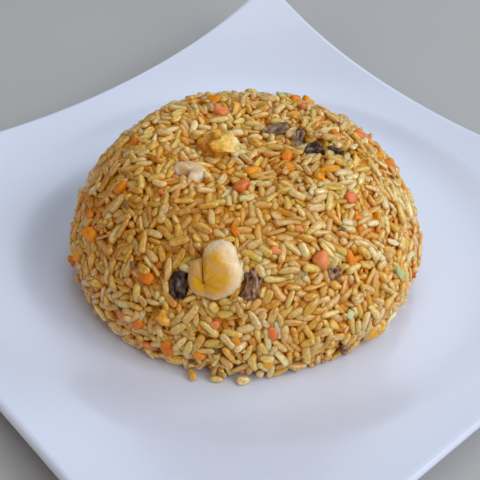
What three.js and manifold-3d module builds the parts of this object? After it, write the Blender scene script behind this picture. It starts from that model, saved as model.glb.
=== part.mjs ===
/**
 * A moulded mound of shrimp and beef fried rice, turned out on a square white dish with raised corners.
 *
 * Units are millimetres and +Z is up. The origin is at the middle of the dish, on the surface it stands on,
 * and the sides of the dish run along X and Y. Heights called "rise" are measured from the flat well.
 */
import * as THREE from 'three';
import Module from 'manifold-3d';

// ---------------------------------------------------------------- dish
const DISH_HALF_SIDE = 151.5; // half of the side, measured at the corners
const DISH_SIDE_BOW = 0.054; // how far each side is drawn in at its middle, as a share of the half side
const DISH_CORNER_SHARPNESS = 36; // exponent that rounds the four tips in plan
const DISH_SIDE_RISE = 8; // height of the middle of a side above the well
const DISH_WING_START = 0.55; // where the wings start to climb, as a share of the half side
const DISH_WING_CURVE = 1.6; // how late they climb towards the sides
const DISH_TIP_RISE = 15.5; // what each tip rises above the line of the wings
const DISH_TIP_CURVE = 1.8; // how late that extra rise comes towards a tip
const WELL_RADIUS = 93; // the round flat middle
const WELL_BORDER = 32; // width over which the flat passes into the wings
const WELL_THICKNESS = 5.5;
const EDGE_THICKNESS = 4;
const FOOT_HEIGHT = 2.5;
const FOOT_OUTER_RADIUS = 86;
const FOOT_WIDTH = 6;
const FOOT_CHAMFER = 1;
const WELL_Z = FOOT_HEIGHT + WELL_THICKNESS; // height of the well above the table

// ---------------------------------------------------------------- mound
const MOUND_X = 6.6; // the mound sits a little off the middle of the dish
const MOUND_Y = -8.4;
// Outline of the bowl that moulded the rice, from the middle of its slightly hollow crown
// over the shoulder and the belly down to the foot: [radius, rise].
const MOULD_OUTLINE = [
  [0, 57],
  [19, 57.8],
  [37, 59.7],
  [51.5, 55],
  [63.5, 44],
  [72.5, 30.5],
  [78, 15],
  [76, 0],
];
const GRAIN_BUMP = 0.55; // grains make the skin of the mound uneven by this much
const CROWN_CALM = 30; // inside this radius the bumps fade towards the middle of the crown
const SLUMP = 0.7; // broad bulges and hollows left by unmoulding

// ---------------------------------------------------------------- shrimps
const SPINE_SHARE = 0.54; // where a shrimp's spine runs, from the eye of its curl to its back
const SEGMENT_PINCH = 0.06; // how much the body draws in between segments
const END_FULLNESS = 0.8; // girth of the blunt ends, as a share of the full girth
const SHRIMP_TURNS = 20;
const SHRIMP_SIDES = 10;

// ---------------------------------------------------------------- fits
const GAP = 0.3; // clearance kept between touching pieces

// ---------------------------------------------------------------- mesh density
const DISH_STEPS_PER_SIDE = 14;
const MOUND_SPOKES = 52;
const MOUND_RINGS = 20;

/** Seeded random numbers from 0 to 1, the same on every run. */
function seededRandom(seed) {
  let state = seed >>> 0;
  return () => {
    state = (state + 0x6d2b79f5) >>> 0;
    let mixed = Math.imul(state ^ (state >>> 15), 1 | state);
    mixed = (mixed + Math.imul(mixed ^ (mixed >>> 7), 61 | mixed)) ^ mixed;
    return ((mixed ^ (mixed >>> 14)) >>> 0) / 4294967296;
  };
}

/**
 * Closed surface through rings of equal length, with a pole at each end.
 * Each ring turns from +X to +Y when seen from the first pole.
 */
function closedSurface(firstPole, rings, lastPole) {
  const count = rings[0].length;
  const points = [firstPole, ...rings.flat(), lastPole];
  const lastIndex = points.length - 1;
  const faces = [];
  for (let j = 0; j < count; j += 1) {
    const next = (j + 1) % count;
    faces.push(0, 1 + j, 1 + next);
    for (let i = 0; i < rings.length - 1; i += 1) {
      const here = 1 + i * count;
      const below = here + count;
      faces.push(here + j, below + j, below + next);
      faces.push(here + j, below + next, here + next);
    }
    const end = 1 + (rings.length - 1) * count;
    faces.push(end + j, lastIndex, end + next);
  }
  const geometry = new THREE.BufferGeometry();
  const coordinates = points.flatMap((point) => [point.x, point.y, point.z]);
  geometry.setAttribute('position', new THREE.Float32BufferAttribute(coordinates, 3));
  geometry.setIndex(faces);
  return geometry;
}

// ================================================================ dish

/** Points of the dish's edge in plan, counter-clockwise: four equal sides, finer near the tips. */
function dishEdge() {
  const edge = [];
  for (let side = 0; side < 4; side += 1) {
    for (let step = 0; step < DISH_STEPS_PER_SIDE; step += 1) {
      const along = Math.sin((Math.PI / 2) * ((2 * step) / DISH_STEPS_PER_SIDE - 1));
      const drawnIn = 1 - DISH_SIDE_BOW * (1 - along * along);
      const soften = (1 + Math.abs(along) ** DISH_CORNER_SHARPNESS) ** (-1 / DISH_CORNER_SHARPNESS);
      const plan = new THREE.Vector2(DISH_HALF_SIDE * drawnIn, DISH_HALF_SIDE * along);
      edge.push(plan.multiplyScalar(soften).rotateAround(new THREE.Vector2(0, 0), (side * Math.PI) / 2));
    }
  }
  return edge;
}

/** Height of the dish's upper surface above the well. */
function dishRise(x, y) {
  const u = Math.abs(x) / DISH_HALF_SIDE;
  const v = Math.abs(y) / DISH_HALF_SIDE;
  const outwards = (u ** 4 + v ** 4) ** (1 / 4);
  const climb = Math.max(0, (outwards - DISH_WING_START) / (1 - DISH_SIDE_BOW - DISH_WING_START));
  const wing = DISH_SIDE_RISE * climb ** DISH_WING_CURVE;
  const tip = DISH_TIP_RISE * (u * v) ** DISH_TIP_CURVE;
  const outOfWell = THREE.MathUtils.smoothstep(Math.hypot(x, y), WELL_RADIUS, WELL_RADIUS + WELL_BORDER);
  return (wing + tip) * outOfWell;
}

/** The stoneware dish: well, wings, rounded edge, underside and foot ring in one closed surface. */
function dishGeometry() {
  const edge = dishEdge();
  const edgeRadius = EDGE_THICKNESS / 2;
  const ringAtRadius = (radius, z) =>
    edge.map((plan) => {
      const spoke = plan.clone().setLength(radius);
      return new THREE.Vector3(spoke.x, spoke.y, z);
    });
  // A ring of the wing: share 0 is the border of the well and share 1 the middle of the edge's rounding.
  const ringOnWing = (share, outward, lift) =>
    edge.map((plan) => {
      const reach = THREE.MathUtils.lerp(WELL_RADIUS, plan.length() - edgeRadius, share);
      const spoke = plan.clone().setLength(reach);
      const z = WELL_Z + dishRise(spoke.x, spoke.y) + lift;
      spoke.setLength(spoke.length() + outward);
      return new THREE.Vector3(spoke.x, spoke.y, z);
    });
  const rings = [ringAtRadius(WELL_RADIUS / 2, WELL_Z)];
  const wingSteps = 7;
  for (let step = 0; step <= wingSteps; step += 1) {
    rings.push(ringOnWing(step / wingSteps, 0, 0));
  }
  const roundingSteps = 4;
  for (let step = 1; step < roundingSteps; step += 1) {
    const angle = (Math.PI * step) / roundingSteps;
    rings.push(ringOnWing(1, edgeRadius * Math.sin(angle), edgeRadius * (Math.cos(angle) - 1)));
  }
  const underSteps = 4;
  for (let step = 0; step <= underSteps; step += 1) {
    const share = 1 - step / underSteps;
    rings.push(ringOnWing(share, 0, -THREE.MathUtils.lerp(WELL_THICKNESS, EDGE_THICKNESS, share)));
  }
  const footInnerRadius = FOOT_OUTER_RADIUS - FOOT_WIDTH;
  rings.push(ringAtRadius(FOOT_OUTER_RADIUS + FOOT_CHAMFER, FOOT_HEIGHT));
  rings.push(ringAtRadius(FOOT_OUTER_RADIUS, 0));
  rings.push(ringAtRadius(footInnerRadius, 0));
  rings.push(ringAtRadius(footInnerRadius - FOOT_CHAMFER, FOOT_HEIGHT));
  return closedSurface(new THREE.Vector3(0, 0, WELL_Z), rings, new THREE.Vector3(0, 0, FOOT_HEIGHT));
}

// ================================================================ mound

const mouldMarks = MOULD_OUTLINE.map(([radius, rise]) => new THREE.Vector2(radius, rise));
const mouldCurve = new THREE.SplineCurve(mouldMarks);

/** Broad unevenness of the mound's skin at a bearing (radians) and a share of the way down from the crown. */
function slumpAt(bearing, share) {
  const twoLobes = Math.sin(2 * bearing + 0.8);
  const threeLobes = 0.7 * Math.sin(3 * bearing - 5 * share);
  const fiveLobes = 0.5 * Math.cos(5 * bearing + 9 * share);
  return (SLUMP / 2) * Math.sin(Math.PI * share) * (twoLobes + threeLobes + fiveLobes);
}

/** The rice: the moulded shape with its uneven skin, its flat underside just clear of the well. */
function moundGeometry() {
  const random = seededRandom(41);
  const top = mouldCurve.getPointAt(0);
  const rings = [];
  for (let ring = 1; ring <= MOUND_RINGS; ring += 1) {
    const share = ring / MOUND_RINGS;
    const { x: radius, y: rise } = mouldCurve.getPointAt(share);
    const tangent = mouldCurve.getTangentAt(share);
    const isFoot = ring === MOUND_RINGS;
    const points = [];
    for (let spoke = 0; spoke < MOUND_SPOKES; spoke += 1) {
      const bearing = (2 * Math.PI * (spoke + (ring % 2) / 2)) / MOUND_SPOKES;
      const grain = GRAIN_BUMP * (2 * random() - 1) * Math.min(1, radius / CROWN_CALM);
      const bump = slumpAt(bearing, share) + grain;
      const out = radius - tangent.y * bump;
      const up = isFoot ? 0 : rise + tangent.x * bump;
      points.push(new THREE.Vector3(out * Math.cos(bearing), out * Math.sin(bearing), up));
    }
    rings.push(points);
  }
  const geometry = closedSurface(new THREE.Vector3(0, 0, top.y), rings, new THREE.Vector3(0, 0, 0));
  return geometry.translate(MOUND_X, MOUND_Y, WELL_Z + GAP);
}

// ================================================================ toppings

/** Distance from the eye of a curl to the shrimp's back, read off its outline at a bearing in degrees. */
function outlineReach(outline, bearing) {
  const after = Math.max(1, outline.findIndex(([mark]) => mark <= bearing));
  const [startBearing, startReach] = outline[after - 1];
  const [endBearing, endReach] = outline[after];
  return THREE.MathUtils.mapLinear(bearing, startBearing, endBearing, startReach, endReach);
}

/** Bearing, back and half height of a shrimp at a share of its way from head to tail. */
function shrimpStation({ outline, thickness }, share) {
  const head = outline[0][0];
  const tail = outline[outline.length - 1][0];
  const bearing = THREE.MathUtils.lerp(head, tail, share);
  const back = outlineReach(outline, bearing);
  const meanBack = outline.reduce((sum, [, reach]) => sum + reach, 0) / outline.length;
  const angle = THREE.MathUtils.degToRad(bearing);
  return {
    away: new THREE.Vector3(Math.cos(angle), Math.sin(angle), 0),
    back,
    height: thickness * Math.sqrt(back / meanBack),
  };
}

/**
 * A cooked shrimp curled so tight in the XY plane that its head and tail meet across a crease.
 * Its sections stand round the eye of the curl, from the head to the tail, clockwise seen from above.
 */
function shrimpGeometry(form) {
  const rings = [];
  const middles = [];
  for (let turn = 0; turn <= SHRIMP_TURNS; turn += 1) {
    const share = turn / SHRIMP_TURNS;
    const { away, back, height } = shrimpStation(form, share);
    const isEnd = turn === 0 || turn === SHRIMP_TURNS;
    const pinch = 1 - SEGMENT_PINCH * Math.cos(Math.PI * form.segments * share) ** 8;
    const fullness = pinch * (isEnd ? END_FULLNESS : 1);
    const middle = away.clone().multiplyScalar(back * SPINE_SHARE);
    const ring = [];
    for (let side = 0; side < SHRIMP_SIDES; side += 1) {
      const angle = (-2 * Math.PI * side) / SHRIMP_SIDES;
      const width = back * (1 - SPINE_SHARE) * fullness * Math.cos(angle);
      const point = middle.clone().addScaledVector(away, width);
      ring.push(point.setZ(height * fullness * Math.sin(angle)));
    }
    rings.push(ring);
    middles.push(middle);
  }
  return closedSurface(middles[0], rings, middles[SHRIMP_TURNS]);
}

/** The hollow that a curled shrimp presses into the rice: its hull, with the crease and the eye closed. */
function shrimpHollow(form) {
  const levels = [90, 60, 30, 0, -30, -60, -90];
  const stations = [];
  for (let turn = SHRIMP_TURNS; turn >= 0; turn -= 1) {
    stations.push(shrimpStation(form, turn / SHRIMP_TURNS));
  }
  const rings = levels.map((level) => {
    const angle = THREE.MathUtils.degToRad(level);
    return stations.map(({ away, back, height }) => {
      const reach = back * SPINE_SHARE + (back * (1 - SPINE_SHARE) + GAP) * Math.cos(angle);
      return away.clone().multiplyScalar(reach).setZ((height + GAP) * Math.sin(angle));
    });
  });
  const middle = form.thickness + GAP;
  return closedSurface(new THREE.Vector3(0, 0, middle), rings, new THREE.Vector3(0, 0, -middle));
}

/**
 * A lump with lobed sides: scrambled egg when it is round, torn or sliced meat when it is squarer.
 * Its half lengths run along X, Y and Z.
 */
function lumpGeometry({ half, squareness, lobes, seed, rings: ringCount, sides }, grow = 0) {
  const random = seededRandom(seed);
  const waves = Array.from({ length: 4 }, () => ({
    direction: new THREE.Vector3(random() - 0.5, random() - 0.5, random() - 0.5).normalize(),
    rate: 2.5 + 3.5 * random(),
    phase: 2 * Math.PI * random(),
  }));
  const surfacePoint = (polar, around) => {
    const unit = new THREE.Vector3().setFromSphericalCoords(1, polar, Math.PI / 2 - around);
    unit.set(unit.x, unit.z, unit.y);
    const powers = unit.toArray().map((part) => Math.abs(part) ** squareness);
    const norm = powers.reduce((sum, power) => sum + power, 0) ** (1 / squareness);
    let swell = 1;
    for (const { direction, rate, phase } of waves) {
      swell += (lobes / waves.length) * Math.sin(rate * unit.dot(direction) * 2 + phase);
    }
    const point = unit.clone().multiply(new THREE.Vector3(...half)).multiplyScalar(swell / norm);
    return point.addScaledVector(unit, grow);
  };
  const rings = [];
  for (let ring = 1; ring < ringCount; ring += 1) {
    const polar = (Math.PI * ring) / ringCount;
    const ringPoint = (_, side) => surfacePoint(polar, (2 * Math.PI * side) / sides);
    rings.push(Array.from({ length: sides }, ringPoint));
  }
  return closedSurface(surfacePoint(0, 0), rings, surfacePoint(Math.PI, 0));
}

/** The hollow that a lump presses into the rice. */
function lumpHollow(form) {
  return lumpGeometry(form, GAP);
}

/**
 * Where a topping lies on the mound: its bearing round the mound (degrees from +X), its reach down the
 * outline from the crown, how far its middle sinks below the skin, and its turn and tip there (degrees).
 */
function placeOnMound({ bearing, reach, sink, turn = 0, tip = 0 }) {
  const share = reach / mouldCurve.getLength();
  const { x: radius, y: rise } = mouldCurve.getPointAt(share);
  const slope = mouldCurve.getTangentAt(share);
  const angle = THREE.MathUtils.degToRad(bearing);
  const away = new THREE.Vector3(Math.cos(angle), Math.sin(angle), 0);
  const level = new THREE.Vector3(-Math.sin(angle), Math.cos(angle), 0);
  const outward = away.clone().multiplyScalar(-slope.y).setZ(slope.x).normalize();
  const upSlope = new THREE.Vector3().crossVectors(outward, level);
  const spot = away.clone().multiplyScalar(radius).setZ(rise).addScaledVector(outward, -sink);
  spot.add(new THREE.Vector3(MOUND_X, MOUND_Y, WELL_Z + GAP));
  const pose = new THREE.Matrix4().makeBasis(level, upSlope, outward).setPosition(spot);
  pose.multiply(new THREE.Matrix4().makeRotationZ(THREE.MathUtils.degToRad(turn)));
  return pose.multiply(new THREE.Matrix4().makeRotationX(THREE.MathUtils.degToRad(tip)));
}

const COLOURS = {
  shrimp: 0xe3b27c,
  shrimpPale: 0xe6cfbd,
  shrimpPink: 0xd9a07c,
  egg: 0xe2a93c,
  beef: 0x5d4034,
  beefDark: 0x3a2a2c,
};
const EGG_MESH = { rings: 8, sides: 12, squareness: 2.2 };
const MEAT_MESH = { rings: 6, sides: 10, squareness: 3.4, lobes: 0.28 };

// Outlines of the curled shrimps: [bearing from the eye in degrees, reach to the back], from head to tail.
const FRONT_CURL = [
  [95, 15.2],
  [76, 17.6],
  [64, 18.3],
  [42, 16.1],
  [18, 15],
  [-2, 13.2],
  [-22, 10.9],
  [-40, 9.2],
  [-65, 7.2],
  [-90, 6.3],
  [-133, 6.4],
  [-180, 6.8],
  [-210, 8.2],
  [-240, 9.6],
  [-258, 9.2],
];
const CROWN_CURL = [
  [-150, 7.8],
  [-219, 8.3],
  [-287, 7.5],
  [-356, 5.8],
  [-425, 4.7],
];
const FOOT_CURL = [
  [-30, 9.4],
  [-88, 8.7],
  [-145, 6.9],
  [-203, 5.2],
  [-260, 4.5],
];

// Toppings in the order in which they were pressed in: a later one is cut back round an earlier one.
const TOPPINGS = [
  {
    name: 'shrimp_front',
    colour: COLOURS.shrimp,
    shape: shrimpGeometry,
    hollow: shrimpHollow,
    form: { outline: FRONT_CURL, thickness: 5.2, segments: 6 },
    place: { bearing: -55.5, reach: 73.5, sink: 1.6, turn: 0, tip: 4 },
  },
  {
    name: 'shrimp_crown',
    colour: COLOURS.shrimpPale,
    shape: shrimpGeometry,
    hollow: shrimpHollow,
    form: { outline: CROWN_CURL, thickness: 3.6, segments: 5 },
    place: { bearing: -92, reach: 30, sink: 0.6, turn: 10, tip: -4 },
  },
  {
    name: 'shrimp_foot',
    colour: COLOURS.shrimpPink,
    shape: shrimpGeometry,
    hollow: shrimpHollow,
    form: { outline: FOOT_CURL, thickness: 4.2, segments: 4 },
    place: { bearing: 1, reach: 108, sink: 2.6, turn: 20, tip: 0 },
  },
  {
    name: 'egg_crown',
    colour: COLOURS.egg,
    shape: lumpGeometry,
    hollow: lumpHollow,
    form: { half: [10.4, 9.6, 7.4], lobes: 0.26, seed: 7, ...EGG_MESH },
    place: { bearing: -142, reach: 12.5, sink: 0.5, turn: 95, tip: 0 },
  },
  {
    name: 'egg_shoulder',
    colour: COLOURS.egg,
    shape: lumpGeometry,
    hollow: lumpHollow,
    form: { half: [7.2, 6.8, 4.8], lobes: 0.3, seed: 19, ...EGG_MESH },
    place: { bearing: 42, reach: 49, sink: 1.6, turn: 20, tip: 0 },
  },
  {
    name: 'egg_front',
    colour: COLOURS.egg,
    shape: lumpGeometry,
    hollow: lumpHollow,
    form: { half: [6.8, 4.4, 3.6], lobes: 0.3, seed: 23, ...EGG_MESH },
    place: { bearing: -67.5, reach: 92.5, sink: 1.5, turn: -42, tip: 0 },
  },
  {
    name: 'beef_front_left',
    colour: COLOURS.beefDark,
    shape: lumpGeometry,
    hollow: lumpHollow,
    form: { half: [5.4, 7, 4.6], seed: 31, ...MEAT_MESH },
    place: { bearing: -64, reach: 77, sink: 3.6, turn: 18, tip: 0 },
  },
  {
    name: 'beef_front_middle',
    colour: COLOURS.beef,
    shape: lumpGeometry,
    hollow: lumpHollow,
    form: { half: [4.8, 7.4, 4.4], seed: 37, ...MEAT_MESH },
    place: { bearing: -40, reach: 74, sink: 2.6, turn: -12, tip: 0 },
  },
  {
    name: 'beef_right',
    colour: COLOURS.beefDark,
    shape: lumpGeometry,
    hollow: lumpHollow,
    form: { half: [4, 3.9, 3.7], seed: 43, ...MEAT_MESH },
    place: { bearing: -10, reach: 75, sink: 2.6, turn: 30, tip: 0 },
  },
  {
    name: 'beef_foot',
    colour: COLOURS.beef,
    shape: lumpGeometry,
    hollow: lumpHollow,
    form: { half: [3.5, 4.4, 3.8], seed: 47, ...MEAT_MESH },
    place: { bearing: -11, reach: 110, sink: 1.4, turn: 15, tip: 0 },
  },
  {
    name: 'beef_crown_left',
    colour: COLOURS.beefDark,
    shape: lumpGeometry,
    hollow: lumpHollow,
    form: { half: [5, 4.4, 3.6], seed: 53, ...MEAT_MESH },
    place: { bearing: 46, reach: 28.5, sink: 1.8, turn: 96, tip: 0 },
  },
  {
    name: 'beef_crown_right',
    colour: COLOURS.beefDark,
    shape: lumpGeometry,
    hollow: lumpHollow,
    form: { half: [4.6, 3.2, 3.2], seed: 59, ...MEAT_MESH },
    place: { bearing: 44, reach: 38, sink: 1.8, turn: 80, tip: 0 },
  },
  {
    name: 'beef_slice_back',
    colour: COLOURS.beef,
    shape: lumpGeometry,
    hollow: lumpHollow,
    form: { half: [7, 4.8, 3.2], seed: 61, ...MEAT_MESH },
    place: { bearing: 98, reach: 20.5, sink: 1.5, turn: 55, tip: 0 },
  },
  {
    name: 'beef_slice_side',
    colour: COLOURS.beef,
    shape: lumpGeometry,
    hollow: lumpHollow,
    form: { half: [7.2, 2.8, 3], seed: 67, ...MEAT_MESH },
    place: { bearing: 70, reach: 24.5, sink: 1.4, turn: 155, tip: 0 },
  },
];

// ================================================================ joining and cutting

const manifoldLibrary = await Module();
manifoldLibrary.setup();

/** A geometry as a solid that can be cut. */
function toSolid(geometry) {
  const mesh = new manifoldLibrary.Mesh({
    numProp: 3,
    vertProperties: new Float32Array(geometry.getAttribute('position').array),
    triVerts: new Uint32Array(geometry.getIndex().array),
  });
  return new manifoldLibrary.Manifold(mesh);
}

/** A cut solid as a geometry again. */
function toGeometry(solid) {
  const { vertProperties, triVerts } = solid.getMesh();
  const geometry = new THREE.BufferGeometry();
  geometry.setAttribute('position', new THREE.BufferAttribute(vertProperties, 3));
  geometry.setIndex(new THREE.BufferAttribute(triVerts, 1));
  return geometry;
}

/** One named piece with its own plain material. */
function namedMesh(name, geometry, colour, roughness) {
  geometry.computeVertexNormals();
  const material = new THREE.MeshStandardMaterial({ color: colour, roughness, metalness: 0 });
  const mesh = new THREE.Mesh(geometry, material);
  mesh.name = name;
  return mesh;
}

const friedRicePlate = new THREE.Group();
friedRicePlate.add(namedMesh('dish', dishGeometry(), 0xf2f3f5, 0.15));

let mound = toSolid(moundGeometry());
const dishSolid = toSolid(dishGeometry().translate(0, 0, GAP));
const pockets = [];
for (const { name, colour, shape, hollow, form, place } of TOPPINGS) {
  const pose = placeOnMound(place);
  let piece = toSolid(shape(form).applyMatrix4(pose)).subtract(dishSolid);
  for (const pocket of pockets) {
    piece = piece.subtract(pocket);
  }
  const pocket = toSolid(hollow(form).applyMatrix4(pose));
  mound = mound.subtract(pocket);
  pockets.push(pocket);
  friedRicePlate.add(namedMesh(name, toGeometry(piece), colour, 0.45));
}
friedRicePlate.add(namedMesh('rice_mound', toGeometry(mound), 0xcfa766, 0.5));

export default friedRicePlate;
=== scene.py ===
"""A moulded mound of shrimp and beef fried rice on a square white dish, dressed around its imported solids.

The rice is laid as real grains. Rods are pushed apart in the mould's skin for a set number of rounds,
and each becomes one cooked grain. Carrot dice, egg flakes, crumbs and green bits are packed in with them.
Lengths are in metres unless a name or a docstring says otherwise.
"""
import logging
import math
from dataclasses import dataclass, field
from enum import Enum

import bpy
import numpy as np
from mathutils import Matrix, Vector, noise


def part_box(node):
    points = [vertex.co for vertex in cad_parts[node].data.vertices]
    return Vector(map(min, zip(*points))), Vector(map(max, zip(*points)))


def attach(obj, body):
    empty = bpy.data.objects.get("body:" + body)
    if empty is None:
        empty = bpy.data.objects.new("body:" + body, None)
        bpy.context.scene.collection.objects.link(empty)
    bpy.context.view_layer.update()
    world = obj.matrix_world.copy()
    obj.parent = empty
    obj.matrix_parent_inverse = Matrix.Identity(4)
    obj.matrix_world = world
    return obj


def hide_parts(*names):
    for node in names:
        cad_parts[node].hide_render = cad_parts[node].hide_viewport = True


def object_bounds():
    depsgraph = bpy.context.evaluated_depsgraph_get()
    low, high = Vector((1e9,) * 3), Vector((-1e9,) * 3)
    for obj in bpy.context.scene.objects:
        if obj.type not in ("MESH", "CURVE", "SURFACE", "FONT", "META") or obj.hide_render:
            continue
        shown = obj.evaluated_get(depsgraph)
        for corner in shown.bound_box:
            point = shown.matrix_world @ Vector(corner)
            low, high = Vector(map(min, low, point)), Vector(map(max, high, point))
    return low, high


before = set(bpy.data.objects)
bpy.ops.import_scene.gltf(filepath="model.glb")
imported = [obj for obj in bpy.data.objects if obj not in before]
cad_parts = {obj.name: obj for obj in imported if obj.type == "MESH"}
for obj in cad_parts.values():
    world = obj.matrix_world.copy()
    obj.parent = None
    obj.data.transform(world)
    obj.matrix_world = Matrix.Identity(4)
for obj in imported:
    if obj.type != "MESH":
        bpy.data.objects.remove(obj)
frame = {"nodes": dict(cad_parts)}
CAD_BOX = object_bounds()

log = logging.getLogger("fried_rice_plate")
MM = 0.001
ROOT = "root"


# ------------------------------------------------------------ mesh helpers
@dataclass
class Facets:
    """Points and triangles of one or many closed shapes, with a tone for each point."""

    points: np.ndarray
    triangles: np.ndarray
    tone: np.ndarray

    @staticmethod
    def joined(parts: "list[Facets]") -> "Facets":
        """Join several sets of facets into one.

        Args:
            parts: The sets to join.

        Returns:
            One set that holds them all.
        """
        offsets = np.cumsum([0] + [len(part.points) for part in parts[:-1]])
        triangles = np.concatenate([part.triangles + start for part, start in zip(parts, offsets)])
        points = np.concatenate([part.points for part in parts])
        return Facets(points, triangles, np.concatenate([part.tone for part in parts]))

    def to_object(self, name: str) -> bpy.types.Object:
        """Make a smooth mesh object, with the tone as a colour attribute.

        Args:
            name: Name of the new object.

        Returns:
            The object, linked to the scene.
        """
        mesh = bpy.data.meshes.new(name)
        count = len(self.triangles)
        mesh.vertices.add(len(self.points))
        mesh.vertices.foreach_set("co", self.points.astype(np.float32).ravel())
        mesh.loops.add(3 * count)
        mesh.loops.foreach_set("vertex_index", self.triangles.astype(np.int32).ravel())
        mesh.polygons.add(count)
        mesh.polygons.foreach_set("loop_start", np.arange(0, 3 * count, 3, dtype=np.int32))
        mesh.polygons.foreach_set("use_smooth", np.ones(count, dtype=bool))
        mesh.update(calc_edges=True)
        layer = mesh.color_attributes.new("tone", "FLOAT_COLOR", "POINT")
        layer.data.foreach_set("color", self.tone.astype(np.float32).ravel())
        mesh.validate()
        piece = bpy.data.objects.new(name, mesh)
        bpy.context.scene.collection.objects.link(piece)
        return piece


def ring_triangles(rings: int, sides: int) -> np.ndarray:
    """Index the triangles of a closed surface of rings with a pole at each end.

    Args:
        rings: Number of rings between the poles.
        sides: Points on each ring.

    Returns:
        Triangles over the first pole, the rings in order, and the last pole.
    """
    side = np.arange(sides)
    ahead = (side + 1) % sides
    last = 1 + rings * sides
    start = 1 + np.arange(rings - 1)[:, None] * sides
    here, there = start + side, start + ahead
    below, beyond = here + sides, there + sides
    bands = np.concatenate(
        [np.stack([here, below, beyond], -1), np.stack([here, beyond, there], -1)]
    ).reshape(-1, 3)
    first_cap = np.stack([np.zeros(sides, int), 1 + side, 1 + ahead], -1)
    end = 1 + (rings - 1) * sides
    last_cap = np.stack([end + side, np.full(sides, last), end + ahead], -1)
    return np.concatenate([first_cap, bands, last_cap])


def unit(vectors: np.ndarray) -> np.ndarray:
    """Scale vectors to length one."""
    return vectors / np.maximum(np.linalg.norm(vectors, axis=-1, keepdims=True), 1e-12)


def smooth_through(marks: np.ndarray, steps: int) -> np.ndarray:
    """Draw a smooth line through marks.

    Args:
        marks: The marks in order, one in each row.
        steps: Points from each mark to the next.

    Returns:
        The line's points, with the first and the last mark.
    """
    padded = np.concatenate([marks[:1], marks, marks[-1:]])
    t = np.linspace(0, 1, steps, endpoint=False)[:, None]
    pieces = []
    for before, start, end, after in zip(padded, padded[1:], padded[2:], padded[3:]):
        leave, arrive = (end - before) / 2, (after - start) / 2
        cubic = (2 * start - 2 * end + leave + arrive) * t**3 + (
            3 * end - 3 * start - 2 * leave - arrive
        ) * t**2
        pieces.append(cubic + leave * t + start)
    return np.concatenate([*pieces, marks[-1:]])


def hand_over(
    piece: bpy.types.Object, material: bpy.types.Material, slot: str, *nodes: str,
) -> bpy.types.Object:
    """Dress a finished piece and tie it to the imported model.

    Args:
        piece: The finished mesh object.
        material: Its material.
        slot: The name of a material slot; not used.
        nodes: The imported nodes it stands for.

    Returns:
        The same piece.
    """
    piece.data.materials.clear()
    piece.data.materials.append(material)
    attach(piece, ROOT)
    if nodes:
        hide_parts(*nodes)
    log.info("%s: %d triangles", piece.name, sum(len(face.vertices) - 2 for face in piece.data.polygons))
    return piece


# ------------------------------------------------------------ node helpers
@dataclass
class Wiring:
    """A node tree being wired up, with short ways to add nodes."""

    tree: bpy.types.NodeTree

    def node(self, kind: str, **settings: object) -> bpy.types.Node:
        """Add a node.

        Args:
            kind: Blender's name for the node type.
            settings: Properties to set on it.

        Returns:
            The new node.
        """
        made = self.tree.nodes.new(kind)
        for key, value in settings.items():
            setattr(made, key, value)
        return made

    def link(self, source: bpy.types.NodeSocket, target: bpy.types.NodeSocket) -> None:
        """Join an output to an input."""
        self.tree.links.new(source, target)

    def maths(
        self, operation: str, first: object, second: object = 0.0, clamp: bool = False,
    ) -> bpy.types.NodeSocket:
        """Add a Math node.

        Args:
            operation: The sum to do.
            first: A socket or a number.
            second: A socket or a number.
            clamp: Whether to hold the result between 0 and 1.

        Returns:
            The node's output.
        """
        made = self.node("ShaderNodeMath", operation=operation, use_clamp=clamp)
        for socket, value in zip(made.inputs, (first, second)):
            if isinstance(value, bpy.types.NodeSocket):
                self.link(value, socket)
            else:
                socket.default_value = value
        return made.outputs[0]

    def blend(self, share: object, low: object, high: object) -> bpy.types.NodeSocket:
        """Mix two colours.

        Args:
            share: A socket or a number; 0 gives low and 1 gives high.
            low: A socket or a colour.
            high: A socket or a colour.

        Returns:
            The mixed colour.
        """
        made = self.node("ShaderNodeMix", data_type="RGBA")
        for socket, value in ((made.inputs[0], share), (made.inputs[6], low), (made.inputs[7], high)):
            if isinstance(value, bpy.types.NodeSocket):
                self.link(value, socket)
            elif isinstance(value, tuple):
                socket.default_value = (*value, 1.0)
            else:
                socket.default_value = value
        return made.outputs[2]

    def ramp(
        self, source: bpy.types.NodeSocket, stops: "list[tuple[float, tuple[float, float, float]]]",
    ) -> bpy.types.NodeSocket:
        """Add a colour ramp.

        Args:
            source: The value that picks a colour.
            stops: Places from 0 to 1 and their colours.

        Returns:
            The ramp's colour.
        """
        made = self.node("ShaderNodeValToRGB")
        ramp = made.color_ramp
        while len(ramp.elements) < len(stops):
            ramp.elements.new(0.5)
        for element, (place, colour) in zip(ramp.elements, stops):
            element.position = place
            element.color = (*colour, 1.0)
        self.link(source, made.inputs[0])
        return made.outputs[0]


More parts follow.
